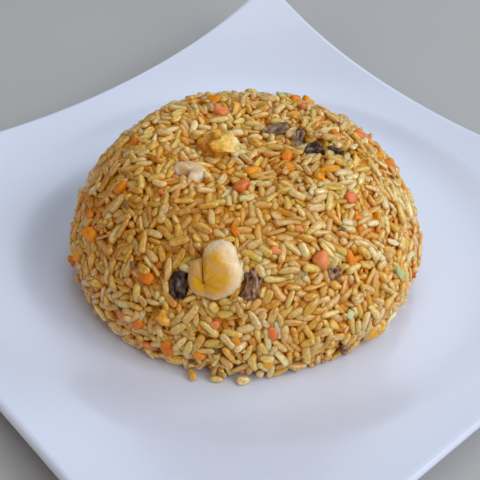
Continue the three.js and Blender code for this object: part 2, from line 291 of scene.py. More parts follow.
class SharedEffects:
    """Node groups that several foods use: mottled colour, moist film and fibres."""

    def __init__(self) -> None:
        """Build the groups once."""
        self.mottling = self._mottling()
        self.moisture = self._moisture()
        self.fibres = self._fibres()

    @staticmethod
    def _new_group(
        name: str, inputs: "dict[str, float]", outputs: "tuple[str, ...]",
    ) -> "tuple[bpy.types.NodeTree, Wiring, bpy.types.Node, bpy.types.Node]":
        """Start a group with value sockets.

        Args:
            name: The group's name.
            inputs: Input names with their usual values.
            outputs: Output names.

        Returns:
            The tree, its wiring, its input node and its output node.
        """
        tree = bpy.data.node_groups.new(name, "ShaderNodeTree")
        for label, usual in inputs.items():
            tree.interface.new_socket(
                label, in_out="INPUT", socket_type="NodeSocketFloat"
            ).default_value = usual
        for label in outputs:
            tree.interface.new_socket(label, in_out="OUTPUT", socket_type="NodeSocketFloat")
        wiring = Wiring(tree)
        return tree, wiring, wiring.node("NodeGroupInput"), wiring.node("NodeGroupOutput")

    def _mottling(self) -> bpy.types.NodeTree:
        """Cloudy patches: Mask runs from 0 to 1, and Height is finer."""
        tree, wiring, given, result = self._new_group(
            "mottling", {"Size": 400.0, "Fineness": 3.0, "Contrast": 1.6}, ("Mask", "Height")
        )
        place = wiring.node("ShaderNodeTexCoord").outputs["Object"]
        patches = wiring.node("ShaderNodeTexNoise")
        wiring.link(place, patches.inputs["Vector"])
        wiring.link(given.outputs["Size"], patches.inputs["Scale"])
        wiring.link(given.outputs["Fineness"], patches.inputs["Detail"])
        spread = wiring.maths(
            "MULTIPLY", wiring.maths("SUBTRACT", patches.outputs[0], 0.5), given.outputs["Contrast"]
        )
        wiring.link(wiring.maths("ADD", spread, 0.5, clamp=True), result.inputs["Mask"])
        grit = wiring.node("ShaderNodeTexNoise")
        grit.inputs["Detail"].default_value = 2.0
        wiring.link(place, grit.inputs["Vector"])
        wiring.link(wiring.maths("MULTIPLY", given.outputs["Size"], 4.0), grit.inputs["Scale"])
        wiring.link(
            wiring.maths("ADD", patches.outputs[0], wiring.maths("MULTIPLY", grit.outputs[0], 0.35)),
            result.inputs["Height"],
        )
        return tree

    def _moisture(self) -> bpy.types.NodeTree:
        """A broken film of oil and juice: Roughness falls where it lies, and Film says how much there is."""
        tree, wiring, given, result = self._new_group(
            "moist_film", {"Size": 300.0, "Dry": 0.55, "Wet": 0.25}, ("Roughness", "Film")
        )
        place = wiring.node("ShaderNodeTexCoord").outputs["Object"]
        patches = wiring.node("ShaderNodeTexNoise")
        wiring.link(place, patches.inputs["Vector"])
        wiring.link(given.outputs["Size"], patches.inputs["Scale"])
        film = wiring.maths("MULTIPLY", wiring.maths("SUBTRACT", patches.outputs[0], 0.38), 3.2, clamp=True)
        span = wiring.maths("SUBTRACT", given.outputs["Wet"], given.outputs["Dry"])
        wiring.link(
            wiring.maths("ADD", given.outputs["Dry"], wiring.maths("MULTIPLY", film, span)),
            result.inputs["Roughness"],
        )
        wiring.link(film, result.inputs["Film"])
        return tree

    def _fibres(self) -> bpy.types.NodeTree:
        """Long threads along X: Height for their relief, Mask for light and dark threads."""
        tree, wiring, given, result = self._new_group(
            "fibres", {"Size": 900.0, "Stretch": 0.14}, ("Mask", "Height")
        )
        place = wiring.node("ShaderNodeTexCoord").outputs["Object"]
        parts = wiring.node("ShaderNodeSeparateXYZ")
        wiring.link(place, parts.inputs[0])
        drawn = wiring.node("ShaderNodeCombineXYZ")
        wiring.link(wiring.maths("MULTIPLY", parts.outputs[0], given.outputs["Stretch"]), drawn.inputs[0])
        wiring.link(parts.outputs[1], drawn.inputs[1])
        wiring.link(parts.outputs[2], drawn.inputs[2])
        threads = wiring.node("ShaderNodeTexNoise")
        threads.inputs["Detail"].default_value = 4.0
        threads.inputs["Distortion"].default_value = 0.6
        wiring.link(drawn.outputs[0], threads.inputs["Vector"])
        wiring.link(given.outputs["Size"], threads.inputs["Scale"])
        contrast = wiring.maths("MULTIPLY", wiring.maths("SUBTRACT", threads.outputs[0], 0.5), 3.0)
        wiring.link(wiring.maths("ADD", contrast, 0.5, clamp=True), result.inputs["Mask"])
        wiring.link(threads.outputs[0], result.inputs["Height"])
        return tree

    @staticmethod
    def place(wiring: Wiring, group: bpy.types.NodeTree, **values: float) -> bpy.types.Node:
        """Put a group into a material with its own values.

        Args:
            wiring: The material's wiring.
            group: The group.
            values: Input values by name.

        Returns:
            The group node.
        """
        made = wiring.node("ShaderNodeGroup", node_tree=group)
        for label, value in values.items():
            made.inputs[label].default_value = value
        return made


@dataclass(frozen=True)
class Flesh:
    """What every soft, moist food has in common: how much light goes in, and how its skin shines."""

    name: str
    sizes: "tuple[float, float]"
    dry: float
    wet: float
    inner: float
    reach: "tuple[float, float, float]"
    relief: float = 0.0

    def start(self, effects: SharedEffects) -> "tuple[bpy.types.Material, Wiring, bpy.types.Node]":
        """Make a material with a moist Principled shader.

        Args:
            effects: The shared node groups.

        Returns:
            The material, its wiring and its Principled node.
        """
        material = bpy.data.materials.new(self.name)
        material.use_nodes = True
        wiring = Wiring(material.node_tree)
        shader = material.node_tree.nodes["Principled BSDF"]
        moist = effects.place(wiring, effects.moisture, Size=self.sizes[0], Dry=self.dry, Wet=self.wet)
        wiring.link(moist.outputs["Roughness"], shader.inputs["Roughness"])
        shader.inputs["Subsurface Weight"].default_value = self.inner
        shader.inputs["Subsurface Radius"].default_value = self.reach
        shader.inputs["Subsurface Scale"].default_value = 1.0
        shader.inputs["IOR"].default_value = 1.4
        return material, wiring, shader

    def roughen(self, wiring: Wiring, shader: bpy.types.Node, height: bpy.types.NodeSocket) -> None:
        """Add relief to the skin.

        Args:
            wiring: The material's wiring.
            shader: Its Principled node.
            height: The relief, about 0 to 1.
        """
        bump = wiring.node("ShaderNodeBump")
        bump.inputs["Strength"].default_value = 0.6
        bump.inputs["Distance"].default_value = self.relief
        wiring.link(height, bump.inputs["Height"])
        wiring.link(bump.outputs[0], shader.inputs["Normal"])


@dataclass(frozen=True)
class RiceFinish(Flesh):
    """Rice fried in soy and oil: one kind of grain, darker at the tips, with painted amber shade where it lies
    deep under the skin.
    """

    name: str = "fried_rice_grain"
    sizes: "tuple[float, float]" = (330.0, 700.0)
    dry: float = 0.38
    wet: float = 0.2
    inner: float = 0.85
    reach: "tuple[float, float, float]" = (0.0036, 0.0020, 0.0009)
    relief: float = 0.0003
    deep: "tuple[float, float, float]" = (0.44, 0.16, 0.01)
    body: "tuple[float, float, float]" = (0.70, 0.42, 0.1)
    light: "tuple[float, float, float]" = (0.86, 0.67, 0.33)
    patches: float = 110.0
    oil: float = 1.0
    tip: "tuple[float, float, float]" = (0.62, 0.27, 0.03)
    # Painted shade colour for the parts of a grain deep under the skin.
    amber: "tuple[float, float, float]" = (0.76, 0.27, 0.003)

    def build(self, effects: SharedEffects) -> bpy.types.Material:
        """Make the material.

        Args:
            effects: The shared node groups.

        Returns:
            The material.
        """
        material, wiring, shader = self.start(effects)
        shader.inputs["Coat Roughness"].default_value = 0.13
        tone = wiring.node("ShaderNodeAttribute", attribute_name="tone")
        parts = wiring.node("ShaderNodeSeparateColor")
        wiring.link(tone.outputs["Color"], parts.inputs[0])
        mottled = effects.place(wiring, effects.mottling, Size=self.sizes[1], Fineness=4.0, Contrast=2.2)
        broad_patches = effects.place(wiring, effects.mottling, Size=self.patches, Fineness=3.0, Contrast=2.0)
        patchy = wiring.maths("MULTIPLY", wiring.maths("SUBTRACT", broad_patches.outputs["Mask"], 0.5), 0.35)
        spots = wiring.maths("MULTIPLY", wiring.maths("SUBTRACT", mottled.outputs["Mask"], 0.5), 0.6)
        wander = wiring.maths("ADD", patchy, spots)
        stops = [(0.05, self.deep), (0.5, self.body), (0.95, self.light)]
        colour = wiring.ramp(wiring.maths("ADD", parts.outputs[0], wander, clamp=True), stops)
        above = wiring.maths("SUBTRACT", 1.0, parts.outputs[1], clamp=True)
        wiring.link(wiring.maths("MULTIPLY", above, self.oil), shader.inputs["Coat Weight"])
        ends = wiring.maths("MULTIPLY", wiring.maths("POWER", parts.outputs[2], 4.0), 0.5, clamp=True)
        skin = wiring.blend(ends, colour, self.tip)
        # Painted shade: deeper under the skin, the grain turns towards the amber colour, as in the gaps between
        # and under the grains.
        wiring.link(
            wiring.blend(wiring.maths("MULTIPLY", parts.outputs[1], 0.9), skin, self.amber),
            shader.inputs["Base Color"],
        )
        self.roughen(wiring, shader, mottled.outputs["Height"])
        return material


@dataclass(frozen=True)
class CoreFinish:
    """What shows between the grains: browned rice in shadow."""

    name: str = "rice_core_shadow"
    dark: "tuple[float, float, float]" = (0.60, 0.21, 0.003)
    light: "tuple[float, float, float]" = (0.80, 0.33, 0.008)

    def build(self, effects: SharedEffects) -> bpy.types.Material:
        """Make the material.

        Args:
            effects: The shared node groups.

        Returns:
            The material.
        """
        material = bpy.data.materials.new(self.name)
        material.use_nodes = True
        wiring = Wiring(material.node_tree)
        shader = material.node_tree.nodes["Principled BSDF"]
        mottled = effects.place(wiring, effects.mottling, Size=260.0, Fineness=3.0, Contrast=2.0)
        wiring.link(
            wiring.blend(mottled.outputs["Mask"], self.dark, self.light), shader.inputs["Base Color"]
        )
        shader.inputs["Roughness"].default_value = 0.6
        return material


@dataclass(frozen=True)
class DiceFinish(Flesh):
    """Small cut pieces that take their own shade from their tone: carrot, egg flakes, herb or cured meat."""

    name: str = "dice"
    sizes: "tuple[float, float]" = (300.0, 700.0)
    dry: float = 0.42
    wet: float = 0.2
    inner: float = 0.3
    reach: "tuple[float, float, float]" = (0.0018, 0.0006, 0.0002)
    relief: float = 0.00018
    deep: "tuple[float, float, float]" = (0.70, 0.17, 0.001)
    pale: "tuple[float, float, float]" = (0.88, 0.40, 0.008)

    def build(self, effects: SharedEffects) -> bpy.types.Material:
        """Make the material.

        Args:
            effects: The shared node groups.

        Returns:
            The material.
        """
        material, wiring, shader = self.start(effects)
        tone = wiring.node("ShaderNodeAttribute", attribute_name="tone")
        parts = wiring.node("ShaderNodeSeparateColor")
        wiring.link(tone.outputs["Color"], parts.inputs[0])
        mottled = effects.place(wiring, effects.mottling, Size=self.sizes[1], Fineness=3.0, Contrast=1.8)
        share = wiring.maths(
            "ADD",
            parts.outputs[0],
            wiring.maths("MULTIPLY", wiring.maths("SUBTRACT", mottled.outputs["Mask"], 0.5), 0.5),
            clamp=True,
        )
        wiring.link(wiring.blend(share, self.deep, self.pale), shader.inputs["Base Color"])
        self.roughen(wiring, shader, mottled.outputs["Height"])
        return material


@dataclass(frozen=True)
class ShrimpFinish(Flesh):
    """Peeled shrimp stained by the frying: cream flesh, golden folds and a paler back, partly a painted
    highlight.
    """

    name: str = "shrimp_flesh"
    sizes: "tuple[float, float]" = (260.0, 250.0)
    dry: float = 0.42
    wet: float = 0.18
    inner: float = 0.3
    reach: "tuple[float, float, float]" = (0.0024, 0.0014, 0.0005)
    relief: float = 0.0006
    cream: "tuple[float, float, float]" = (0.68, 0.39, 0.11)
    gold: "tuple[float, float, float]" = (0.74, 0.37, 0.006)
    # Back colour: the flesh's own paler back and a painted highlight on it.
    back: "tuple[float, float, float]" = (0.86, 0.71, 0.49)

    def build(self, effects: SharedEffects) -> bpy.types.Material:
        """Make the material.

        Args:
            effects: The shared node groups.

        Returns:
            The material.
        """
        material, wiring, shader = self.start(effects)
        tone = wiring.node("ShaderNodeAttribute", attribute_name="tone")
        parts = wiring.node("ShaderNodeSeparateColor")
        wiring.link(tone.outputs["Color"], parts.inputs[0])
        mottled = effects.place(wiring, effects.mottling, Size=self.sizes[1], Fineness=5.0, Contrast=3.4)
        stained = wiring.maths(
            "MULTIPLY", wiring.maths("MULTIPLY", mottled.outputs["Mask"], 1.9), parts.outputs[1], clamp=True
        )
        flesh = wiring.blend(stained, self.cream, self.gold)
        wiring.link(wiring.blend(parts.outputs[0], flesh, self.back), shader.inputs["Base Color"])
        self.roughen(wiring, shader, mottled.outputs["Height"])
        return material


@dataclass(frozen=True)
class EggFinish(Flesh):
    """Scrambled egg: golden yellow with creamy white streaks of egg white."""

    name: str = "scrambled_egg"
    sizes: "tuple[float, float]" = (200.0, 190.0)
    dry: float = 0.45
    wet: float = 0.22
    inner: float = 0.35
    reach: "tuple[float, float, float]" = (0.003, 0.0018, 0.0006)
    relief: float = 0.0004
    crust: "tuple[float, float, float]" = (0.50, 0.19, 0.012)
    yolk: "tuple[float, float, float]" = (0.74, 0.37, 0.03)
    mid: "tuple[float, float, float]" = (0.84, 0.56, 0.14)
    white: "tuple[float, float, float]" = (0.88, 0.76, 0.47)

    def build(self, effects: SharedEffects) -> bpy.types.Material:
        """Make the material.

        Args:
            effects: The shared node groups.

        Returns:
            The material.
        """
        material, wiring, shader = self.start(effects)
        tone = wiring.node("ShaderNodeAttribute", attribute_name="tone")
        parts = wiring.node("ShaderNodeSeparateColor")
        wiring.link(tone.outputs["Color"], parts.inputs[0])
        mottled = effects.place(wiring, effects.mottling, Size=self.sizes[1], Fineness=4.0, Contrast=1.6)
        spread = wiring.maths("MULTIPLY", wiring.maths("SUBTRACT", mottled.outputs["Mask"], 0.5), 0.5)
        folds = wiring.maths("MULTIPLY", wiring.maths("SUBTRACT", parts.outputs[0], 0.5), 0.35)
        share = wiring.maths("ADD", wiring.maths("ADD", parts.outputs[1], spread), folds, clamp=True)
        stops = [(0.0, self.crust), (0.28, self.yolk), (0.55, self.mid), (0.85, self.white)]
        wiring.link(wiring.ramp(share, stops), shader.inputs["Base Color"])
        self.roughen(wiring, shader, mottled.outputs["Height"])
        return material


@dataclass(frozen=True)
class BeefFinish(Flesh):
    """Browned beef: dark fibres, painted shade near black in the low folds, and painted greyish lilac
    highlights on the raised cut faces.
    """

    name: str = "browned_beef"
    sizes: "tuple[float, float]" = (350.0, 420.0)
    dry: float = 0.5
    wet: float = 0.26
    inner: float = 0.12
    reach: "tuple[float, float, float]" = (0.001, 0.0004, 0.0002)
    relief: float = 0.0005
    # Near black: the meat's own dark threads and painted shade in its creases.
    dark: "tuple[float, float, float]" = (0.03, 0.010, 0.004)
    brown: "tuple[float, float, float]" = (0.34, 0.15, 0.06)
    # Painted highlight colour.
    grey: "tuple[float, float, float]" = (0.56, 0.38, 0.28)

    def build(self, effects: SharedEffects) -> bpy.types.Material:
        """Make the material.

        Args:
            effects: The shared node groups.

        Returns:
            The material.
        """
        material, wiring, shader = self.start(effects)
        tone = wiring.node("ShaderNodeAttribute", attribute_name="tone")
        parts = wiring.node("ShaderNodeSeparateColor")
        wiring.link(tone.outputs["Color"], parts.inputs[0])
        threads = effects.place(wiring, effects.fibres, Size=900.0, Stretch=0.16)
        mottled = effects.place(wiring, effects.mottling, Size=self.sizes[1], Fineness=3.0, Contrast=2.4)
        # Low among the folds the colour goes to dark: painted shade in the creases, with the meat's own dark
        # threads.
        raised = wiring.maths(
            "MULTIPLY", parts.outputs[0], wiring.maths("ADD", threads.outputs["Mask"], 0.35), clamp=True
        )
        meat = wiring.blend(raised, self.dark, self.brown)
        # Painted highlight: greyish lilac where the mottling is high on the raised parts.
        light = wiring.maths(
            "MULTIPLY", wiring.maths("SUBTRACT", mottled.outputs["Mask"], 0.25), 1.5, clamp=True
        )
        cut = wiring.maths("MULTIPLY", light, raised, clamp=True)
        shader.inputs["Specular IOR Level"].default_value = 0.22
        wiring.link(wiring.blend(cut, meat, self.grey), shader.inputs["Base Color"])
        self.roughen(wiring, shader, threads.outputs["Height"])
        return material


@dataclass(frozen=True)
class GlazeFinish:
    """Clear glaze over white stoneware, with the faintest waviness; its bluish cast is painted cool skylight.
    """

    name: str = "white_glaze"
    # Both colours are bluish white: the glaze's white with a painted cast of cool skylight.
    white: "tuple[float, float, float]" = (0.68, 0.73, 0.90)
    shade: "tuple[float, float, float]" = (0.67, 0.72, 0.89)
    waviness: float = 0.00001

    def build(self, effects: SharedEffects) -> bpy.types.Material:
        """Make the material.

        Args:
            effects: The shared node groups.

        Returns:
            The material.
        """
        material = bpy.data.materials.new(self.name)
        material.use_nodes = True
        wiring = Wiring(material.node_tree)
        shader = material.node_tree.nodes["Principled BSDF"]
        mottled = effects.place(wiring, effects.mottling, Size=14.0, Fineness=2.0, Contrast=1.2)
        wiring.link(
            wiring.blend(mottled.outputs["Mask"], self.white, self.shade), shader.inputs["Base Color"]
        )
        moist = effects.place(wiring, effects.moisture, Size=18.0, Dry=0.32, Wet=0.29)
        wiring.link(moist.outputs["Roughness"], shader.inputs["Roughness"])
        shader.inputs["IOR"].default_value = 1.5
        shader.inputs["Coat Weight"].default_value = 0.5
        shader.inputs["Coat Roughness"].default_value = 0.12
        bump = wiring.node("ShaderNodeBump")
        bump.inputs["Strength"].default_value = 0.4
        bump.inputs["Distance"].default_value = self.waviness
        wiring.link(mottled.outputs["Height"], bump.inputs["Height"])
        wiring.link(bump.outputs[0], shader.inputs["Normal"])
        return material


# ------------------------------------------------------------ mould
@dataclass
class Mould:
    """The bowl that shaped the rice: a surface of revolution round the mound's own axis."""

    outline: "tuple[tuple[float, float], ...]" = (
        (0.0, 0.0570),
        (0.0190, 0.0578),
        (0.0370, 0.0597),
        (0.0515, 0.0550),
        (0.0635, 0.0440),
        (0.0725, 0.0305),
        (0.0780, 0.0150),
        (0.0760, 0.0),
    )
    slump: float = 0.0007
    steps: int = 40
    centre: np.ndarray = field(init=False)
    curve: np.ndarray = field(init=False)
    normals: np.ndarray = field(init=False)
    reach: np.ndarray = field(init=False)

    def __post_init__(self) -> None:
        """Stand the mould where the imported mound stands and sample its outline."""
        low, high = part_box("rice_mound")
        self.centre = np.array([(low.x + high.x) / 2, (low.y + high.y) / 2, low.z])
        self.curve = smooth_through(np.array(self.outline), self.steps)
        run = np.gradient(self.curve, axis=0)
        run /= np.linalg.norm(run, axis=1, keepdims=True)
        self.normals = np.stack([-run[:, 1], run[:, 0]], 1)
        self.reach = np.concatenate([[0.0], np.cumsum(np.linalg.norm(np.diff(self.curve, axis=0), axis=1))])

    @property
    def length(self) -> float:
        """Distance along the outline from the crown to the foot."""
        return float(self.reach[-1])

    def reach_at(self, share: "float | np.ndarray") -> "float | np.ndarray":
        """Find how far down the outline a share of the skin's area ends."""
        area = np.cumsum(np.maximum(self.curve[:, 0], 1e-6) * np.gradient(self.reach))
        return np.interp(np.clip(share, 0, 1) * area[-1], area, self.reach)

    def frame_at(
        self, bearing: float, reach: float,
    ) -> "tuple[np.ndarray, np.ndarray, np.ndarray, np.ndarray]":
        """Find a spot on the skin.

        Args:
            bearing: Degrees from +X round the mound.
            reach: Distance from the crown down the outline.

        Returns:
            The spot, the level direction, the direction up the slope and the outward direction.
        """
        angle = math.radians(bearing)
        radius, rise, across, up = (
            float(np.interp(reach, self.reach, column)) for column in (*self.curve.T, *self.normals.T)
        )
        away = np.array([math.cos(angle), math.sin(angle), 0.0])
        level = np.array([-math.sin(angle), math.cos(angle), 0.0])
        outward = unit(away * across + np.array([0.0, 0.0, up]))
        return self.centre + away * radius + np.array(
            [0.0, 0.0, rise]
        ), level, np.cross(outward, level), outward

    def pose(
        self, bearing: float, reach: float, sink: float, turn: float = 0.0, tip: float = 0.0,
    ) -> Matrix:
        """Pose a topping on the skin.

        Args:
            bearing: Degrees from +X round the mound.
            reach: Distance from the crown down the outline.
            sink: How far its middle lies under the skin.
            turn: Turn about the outward direction, in degrees.
            tip: Tip about its own X, in degrees.

        Returns:
            The matrix from the topping's own frame to the model's.
        """
        spot, level, up_slope, outward = self.frame_at(bearing, reach)
        basis = Matrix(np.stack([level, up_slope, outward], 1).tolist()).to_4x4()
        basis.translation = Vector(spot - outward * sink)
        return basis @ Matrix.Rotation(
            math.radians(turn), 4, "Z"
        ) @ Matrix.Rotation(math.radians(tip), 4, "X")

    def depth(self, points: np.ndarray) -> "tuple[np.ndarray, np.ndarray]":
        """Measure how far points stand out of the skin.

        Args:
            points: Places in the model's frame.

        Returns:
            Distance outside the skin, negative inside, and the outward direction at each point.
        """
        shifted = points - self.centre
        radius = np.maximum(np.hypot(shifted[:, 0], shifted[:, 1]), 1e-9)
        flat = np.stack([radius, shifted[:, 2]], 1).astype(np.float32)
        samples = self.curve.astype(np.float32)
        gaps = (flat[:, None, 0] - samples[None, :, 0]) ** 2 + (flat[:, None, 1] - samples[None, :, 1]) ** 2
        nearest = gaps.argmin(1)
        normal = self.normals[nearest]
        share = self.reach[nearest] / self.length
        bearing = np.arctan2(shifted[:, 1], shifted[:, 0])
        lobes = np.sin(2 * bearing + 0.8) + 0.7 * np.sin(
            3 * bearing - 5 * share
        ) + 0.5 * np.cos(5 * bearing + 9 * share)
        swell = self.slump * np.sin(np.pi * share) * lobes * 0.5
        distance = ((flat - self.curve[nearest]) * normal).sum(1) - swell
        outward = np.stack(
            [normal[:, 0] * shifted[:, 0] / radius, normal[:, 0] * shifted[:, 1] / radius, normal[:, 1]], 1
        )
        return distance, outward


# ------------------------------------------------------------ packing
@dataclass
class Capsules:
    """Grains and dice as round-ended rods, pushed apart until each has its own room."""

    centre: np.ndarray
    axis: np.ndarray
    half: np.ndarray
    radius: np.ndarray
    freedom: np.ndarray
    proud: np.ndarray

    @staticmethod
    def joined(parts: "list[Capsules]") -> "Capsules":
        """Put several sets into one pile."""
        names = ("centre", "axis", "half", "radius", "freedom", "proud")
        return Capsules(*(np.concatenate([getattr(part, name) for part in parts]) for name in names))

    def neighbours(self, margin: float) -> "tuple[np.ndarray, np.ndarray]":
        """Find the pairs that could touch.

        Args:
            margin: Extra room to allow for moves to come.

        Returns:
            First and second index of each pair.
        """
        size = float(2 * (self.half + self.radius).max() + margin)
        cell = np.floor((self.centre - self.centre.min(0)) / size).astype(np.int64) + 1
        span = cell.max(0) + 2
        key = (cell[:, 0] * span[1] + cell[:, 1]) * span[2] + cell[:, 2]
        order = np.argsort(key, kind="stable")
        ranked = key[order]
        firsts, seconds = [], []
        for dx in (-1, 0, 1):
            for dy in (-1, 0, 1):
                for dz in (-1, 0, 1):
                    wanted = key + (dx * span[1] + dy) * span[2] + dz
                    begin, end = np.searchsorted(ranked, wanted, "left"), np.searchsorted(
                        ranked, wanted, "right"
                    )
                    count = end - begin
                    first = np.repeat(np.arange(len(key)), count)
                    offset = np.arange(count.sum()) - np.repeat(np.cumsum(count) - count, count)
                    second = order[np.repeat(begin, count) + offset]
                    keep = first < second
                    firsts.append(first[keep])
                    seconds.append(second[keep])
        first, second = np.concatenate(firsts), np.concatenate(seconds)
        reach = self.half + self.radius
        gap = np.linalg.norm(self.centre[first] - self.centre[second], axis=1)
        keep = (gap < reach[first] + reach[second] + margin) & (
            self.freedom[first] + self.freedom[second] > 0
        )
        return first[keep], second[keep]

    def push_apart(self, first: np.ndarray, second: np.ndarray, size: float) -> None:
        """Move overlapping pairs apart, turning them as the contact demands.

        Args:
            first: First index of each pair.
            second: Second index of each pair.
            size: Share of the full radius to count.
        """
        axis_a, axis_b = self.axis[first], self.axis[second]
        half_a, half_b = self.half[first], self.half[second]
        offset = self.centre[first] - self.centre[second]
        cosine = (axis_a * axis_b).sum(1)
        along_a, along_b = (axis_a * offset).sum(1), (axis_b * offset).sum(1)
        spread = np.maximum(1 - cosine**2, 1e-6)
        on_a = np.clip((cosine * along_b - along_a) / spread, -half_a, half_a)
        on_b = np.clip(cosine * on_a + along_b, -half_b, half_b)
        on_a = np.clip(cosine * on_b - along_a, -half_a, half_a)
        apart = offset + axis_a * on_a[:, None] - axis_b * on_b[:, None]
        distance = np.maximum(np.linalg.norm(apart, axis=1), 1e-7)
        overlap = size * (self.radius[first] + self.radius[second]) - distance
        hit = overlap > 0
        first, second, apart = first[hit], second[hit], apart[hit] / distance[hit, None]
        arm_a, arm_b = axis_a[hit] * on_a[hit, None], axis_b[hit] * on_b[hit, None]
        inertia = self.half**2 / 3 + 0.4 * self.radius**2
        free_a, free_b = self.freedom[first], self.freedom[second]
        twist_a, twist_b = np.cross(arm_a, apart), np.cross(arm_b, apart)
        give = (
            free_a * (1 + (twist_a**2).sum(1) / inertia[first]) + free_b * (
                1 + (twist_b**2).sum(1) / inertia[second]
            )
        )
        push = 0.5 * overlap[hit] / np.maximum(give, 1e-6)
        self._apply(
            first, apart * (push * free_a)[:, None], twist_a * (push * free_a / inertia[first])[:, None]
        )
        self._apply(
            second, -apart * (push * free_b)[:, None], -twist_b * (push * free_b / inertia[second])[:, None]
        )

    def _apply(self, index: np.ndarray, move: np.ndarray, spin: np.ndarray) -> None:
        """Add moves and turns to capsules, several of which may share an index."""
        count = len(self.centre)
        shift = np.stack([np.bincount(index, column, count) for column in move.T], 1)
        turn = np.stack([np.bincount(index, column, count) for column in spin.T], 1)
        self.centre += shift
        self.axis = unit(self.axis + np.cross(turn, self.axis))

    def confine(self, mould: Mould, shell: float, size: float) -> None:
        """Keep both ends of each loose capsule between the skin and the core, and above the dish.

        Args:
            mould: The skin.
            shell: How deep the layer of rice is.
            size: Share of the full radius to count.
        """
        loose = np.flatnonzero(self.freedom > 0)
        inertia = (self.half**2 / 3 + 0.4 * self.radius**2)[loose]
        for end in (-1.0, 1.0):
            arm = self.axis[loose] * (end * self.half[loose])[:, None]
            tip = self.centre[loose] + arm
            distance, outward = mould.depth(tip)
            radius = self.radius[loose] * size
            above = np.maximum(distance + radius - self.proud[loose], 0)
            below = np.maximum(-shell - distance + radius, 0)
            move = outward * (0.6 * below - 0.8 * above)[:, None]
            sunk = np.maximum(mould.centre[2] + radius - tip[:, 2] - move[:, 2], 0)
            move[:, 2] += sunk
            self.centre[loose] += 0.5 * move
            spin = np.cross(arm, 0.35 * move) / inertia[:, None]
            self.axis[loose] = unit(self.axis[loose] + np.cross(spin, self.axis[loose]))

    def settle(self, mould: Mould, shell: float, rounds: int, press: float) -> None:
        """Grow the capsules to full size while they push each other into place.

        Args:
            mould: The skin that holds them.
            shell: How deep the layer is.
            rounds: How many rounds to run.
            press: How much squeezed grains give way, as a share of the radius.
        """
        growing = rounds // 2
        first = second = np.zeros(0, int)
        for turn in range(rounds):
            if turn % 8 == 0:
                first, second = self.neighbours(1.2 * MM)
            size = press * min(1.0, 0.55 + 0.45 * turn / growing)
            self.push_apart(first, second, size)
            self.confine(mould, shell, size)


# ------------------------------------------------------------ rice
class Tone(Enum):
    """Kinds of grain by how the frying coloured them: name, share of all, deep, body and light colours."""

    PALE = ("rice_grains_pale", 0.25, (0.62, 0.34, 0.06), (0.76, 0.56, 0.22), (0.87, 0.77, 0.52))
    GOLDEN = ("rice_grains_golden", 0.28, (0.58, 0.27, 0.012), (0.73, 0.49, 0.09), (0.85, 0.69, 0.33))
    TAN = ("rice_grains_tan", 0.26, (0.53, 0.26, 0.035), (0.68, 0.45, 0.14), (0.83, 0.66, 0.39))
    AMBER = ("rice_grains_amber", 0.21, (0.50, 0.19, 0.005), (0.67, 0.39, 0.04), (0.81, 0.59, 0.19))


@dataclass
class GrainShape:
    """One cooked long grain, with half length and radius of one, lying along X."""

    sides: int = 9
    rings: int = 7
    bluntness: float = 4.0
    bend: float = 0.06
    flatness: float = 0.86
    lean: float = 0.0
    flat_side: float = 1.0

    def build(self) -> "tuple[np.ndarray, np.ndarray, np.ndarray]":
        """Make the grain.

        Returns:
            Points, triangles and each point's distance from the middle, from 0 to 1.
        """
        along = np.sin(np.linspace(-1, 1, self.rings + 2)[1:-1] * math.pi / 2)
        girth = np.sqrt(1 - np.abs(along) ** self.bluntness) * (1 + self.lean * along)
        around = np.arange(self.sides) * 2 * math.pi / self.sides
        y = girth[:, None] * np.cos(around) + self.bend * 6 * (along**2)[:, None]
        z = girth[:, None] * np.maximum(np.sin(around), -self.flat_side) * self.flatness
        x = np.repeat(along[:, None], self.sides, 1)
        rings = np.stack([x, y, z], -1).reshape(-1, 3)
        ends = np.array([[-1.0, self.bend * 6, 0.0], [1.0, self.bend * 6, 0.0]])
        points = np.concatenate([ends[:1], rings, ends[1:]])
        return points, ring_triangles(self.rings, self.sides)[:, ::-1], np.abs(points[:, 0])


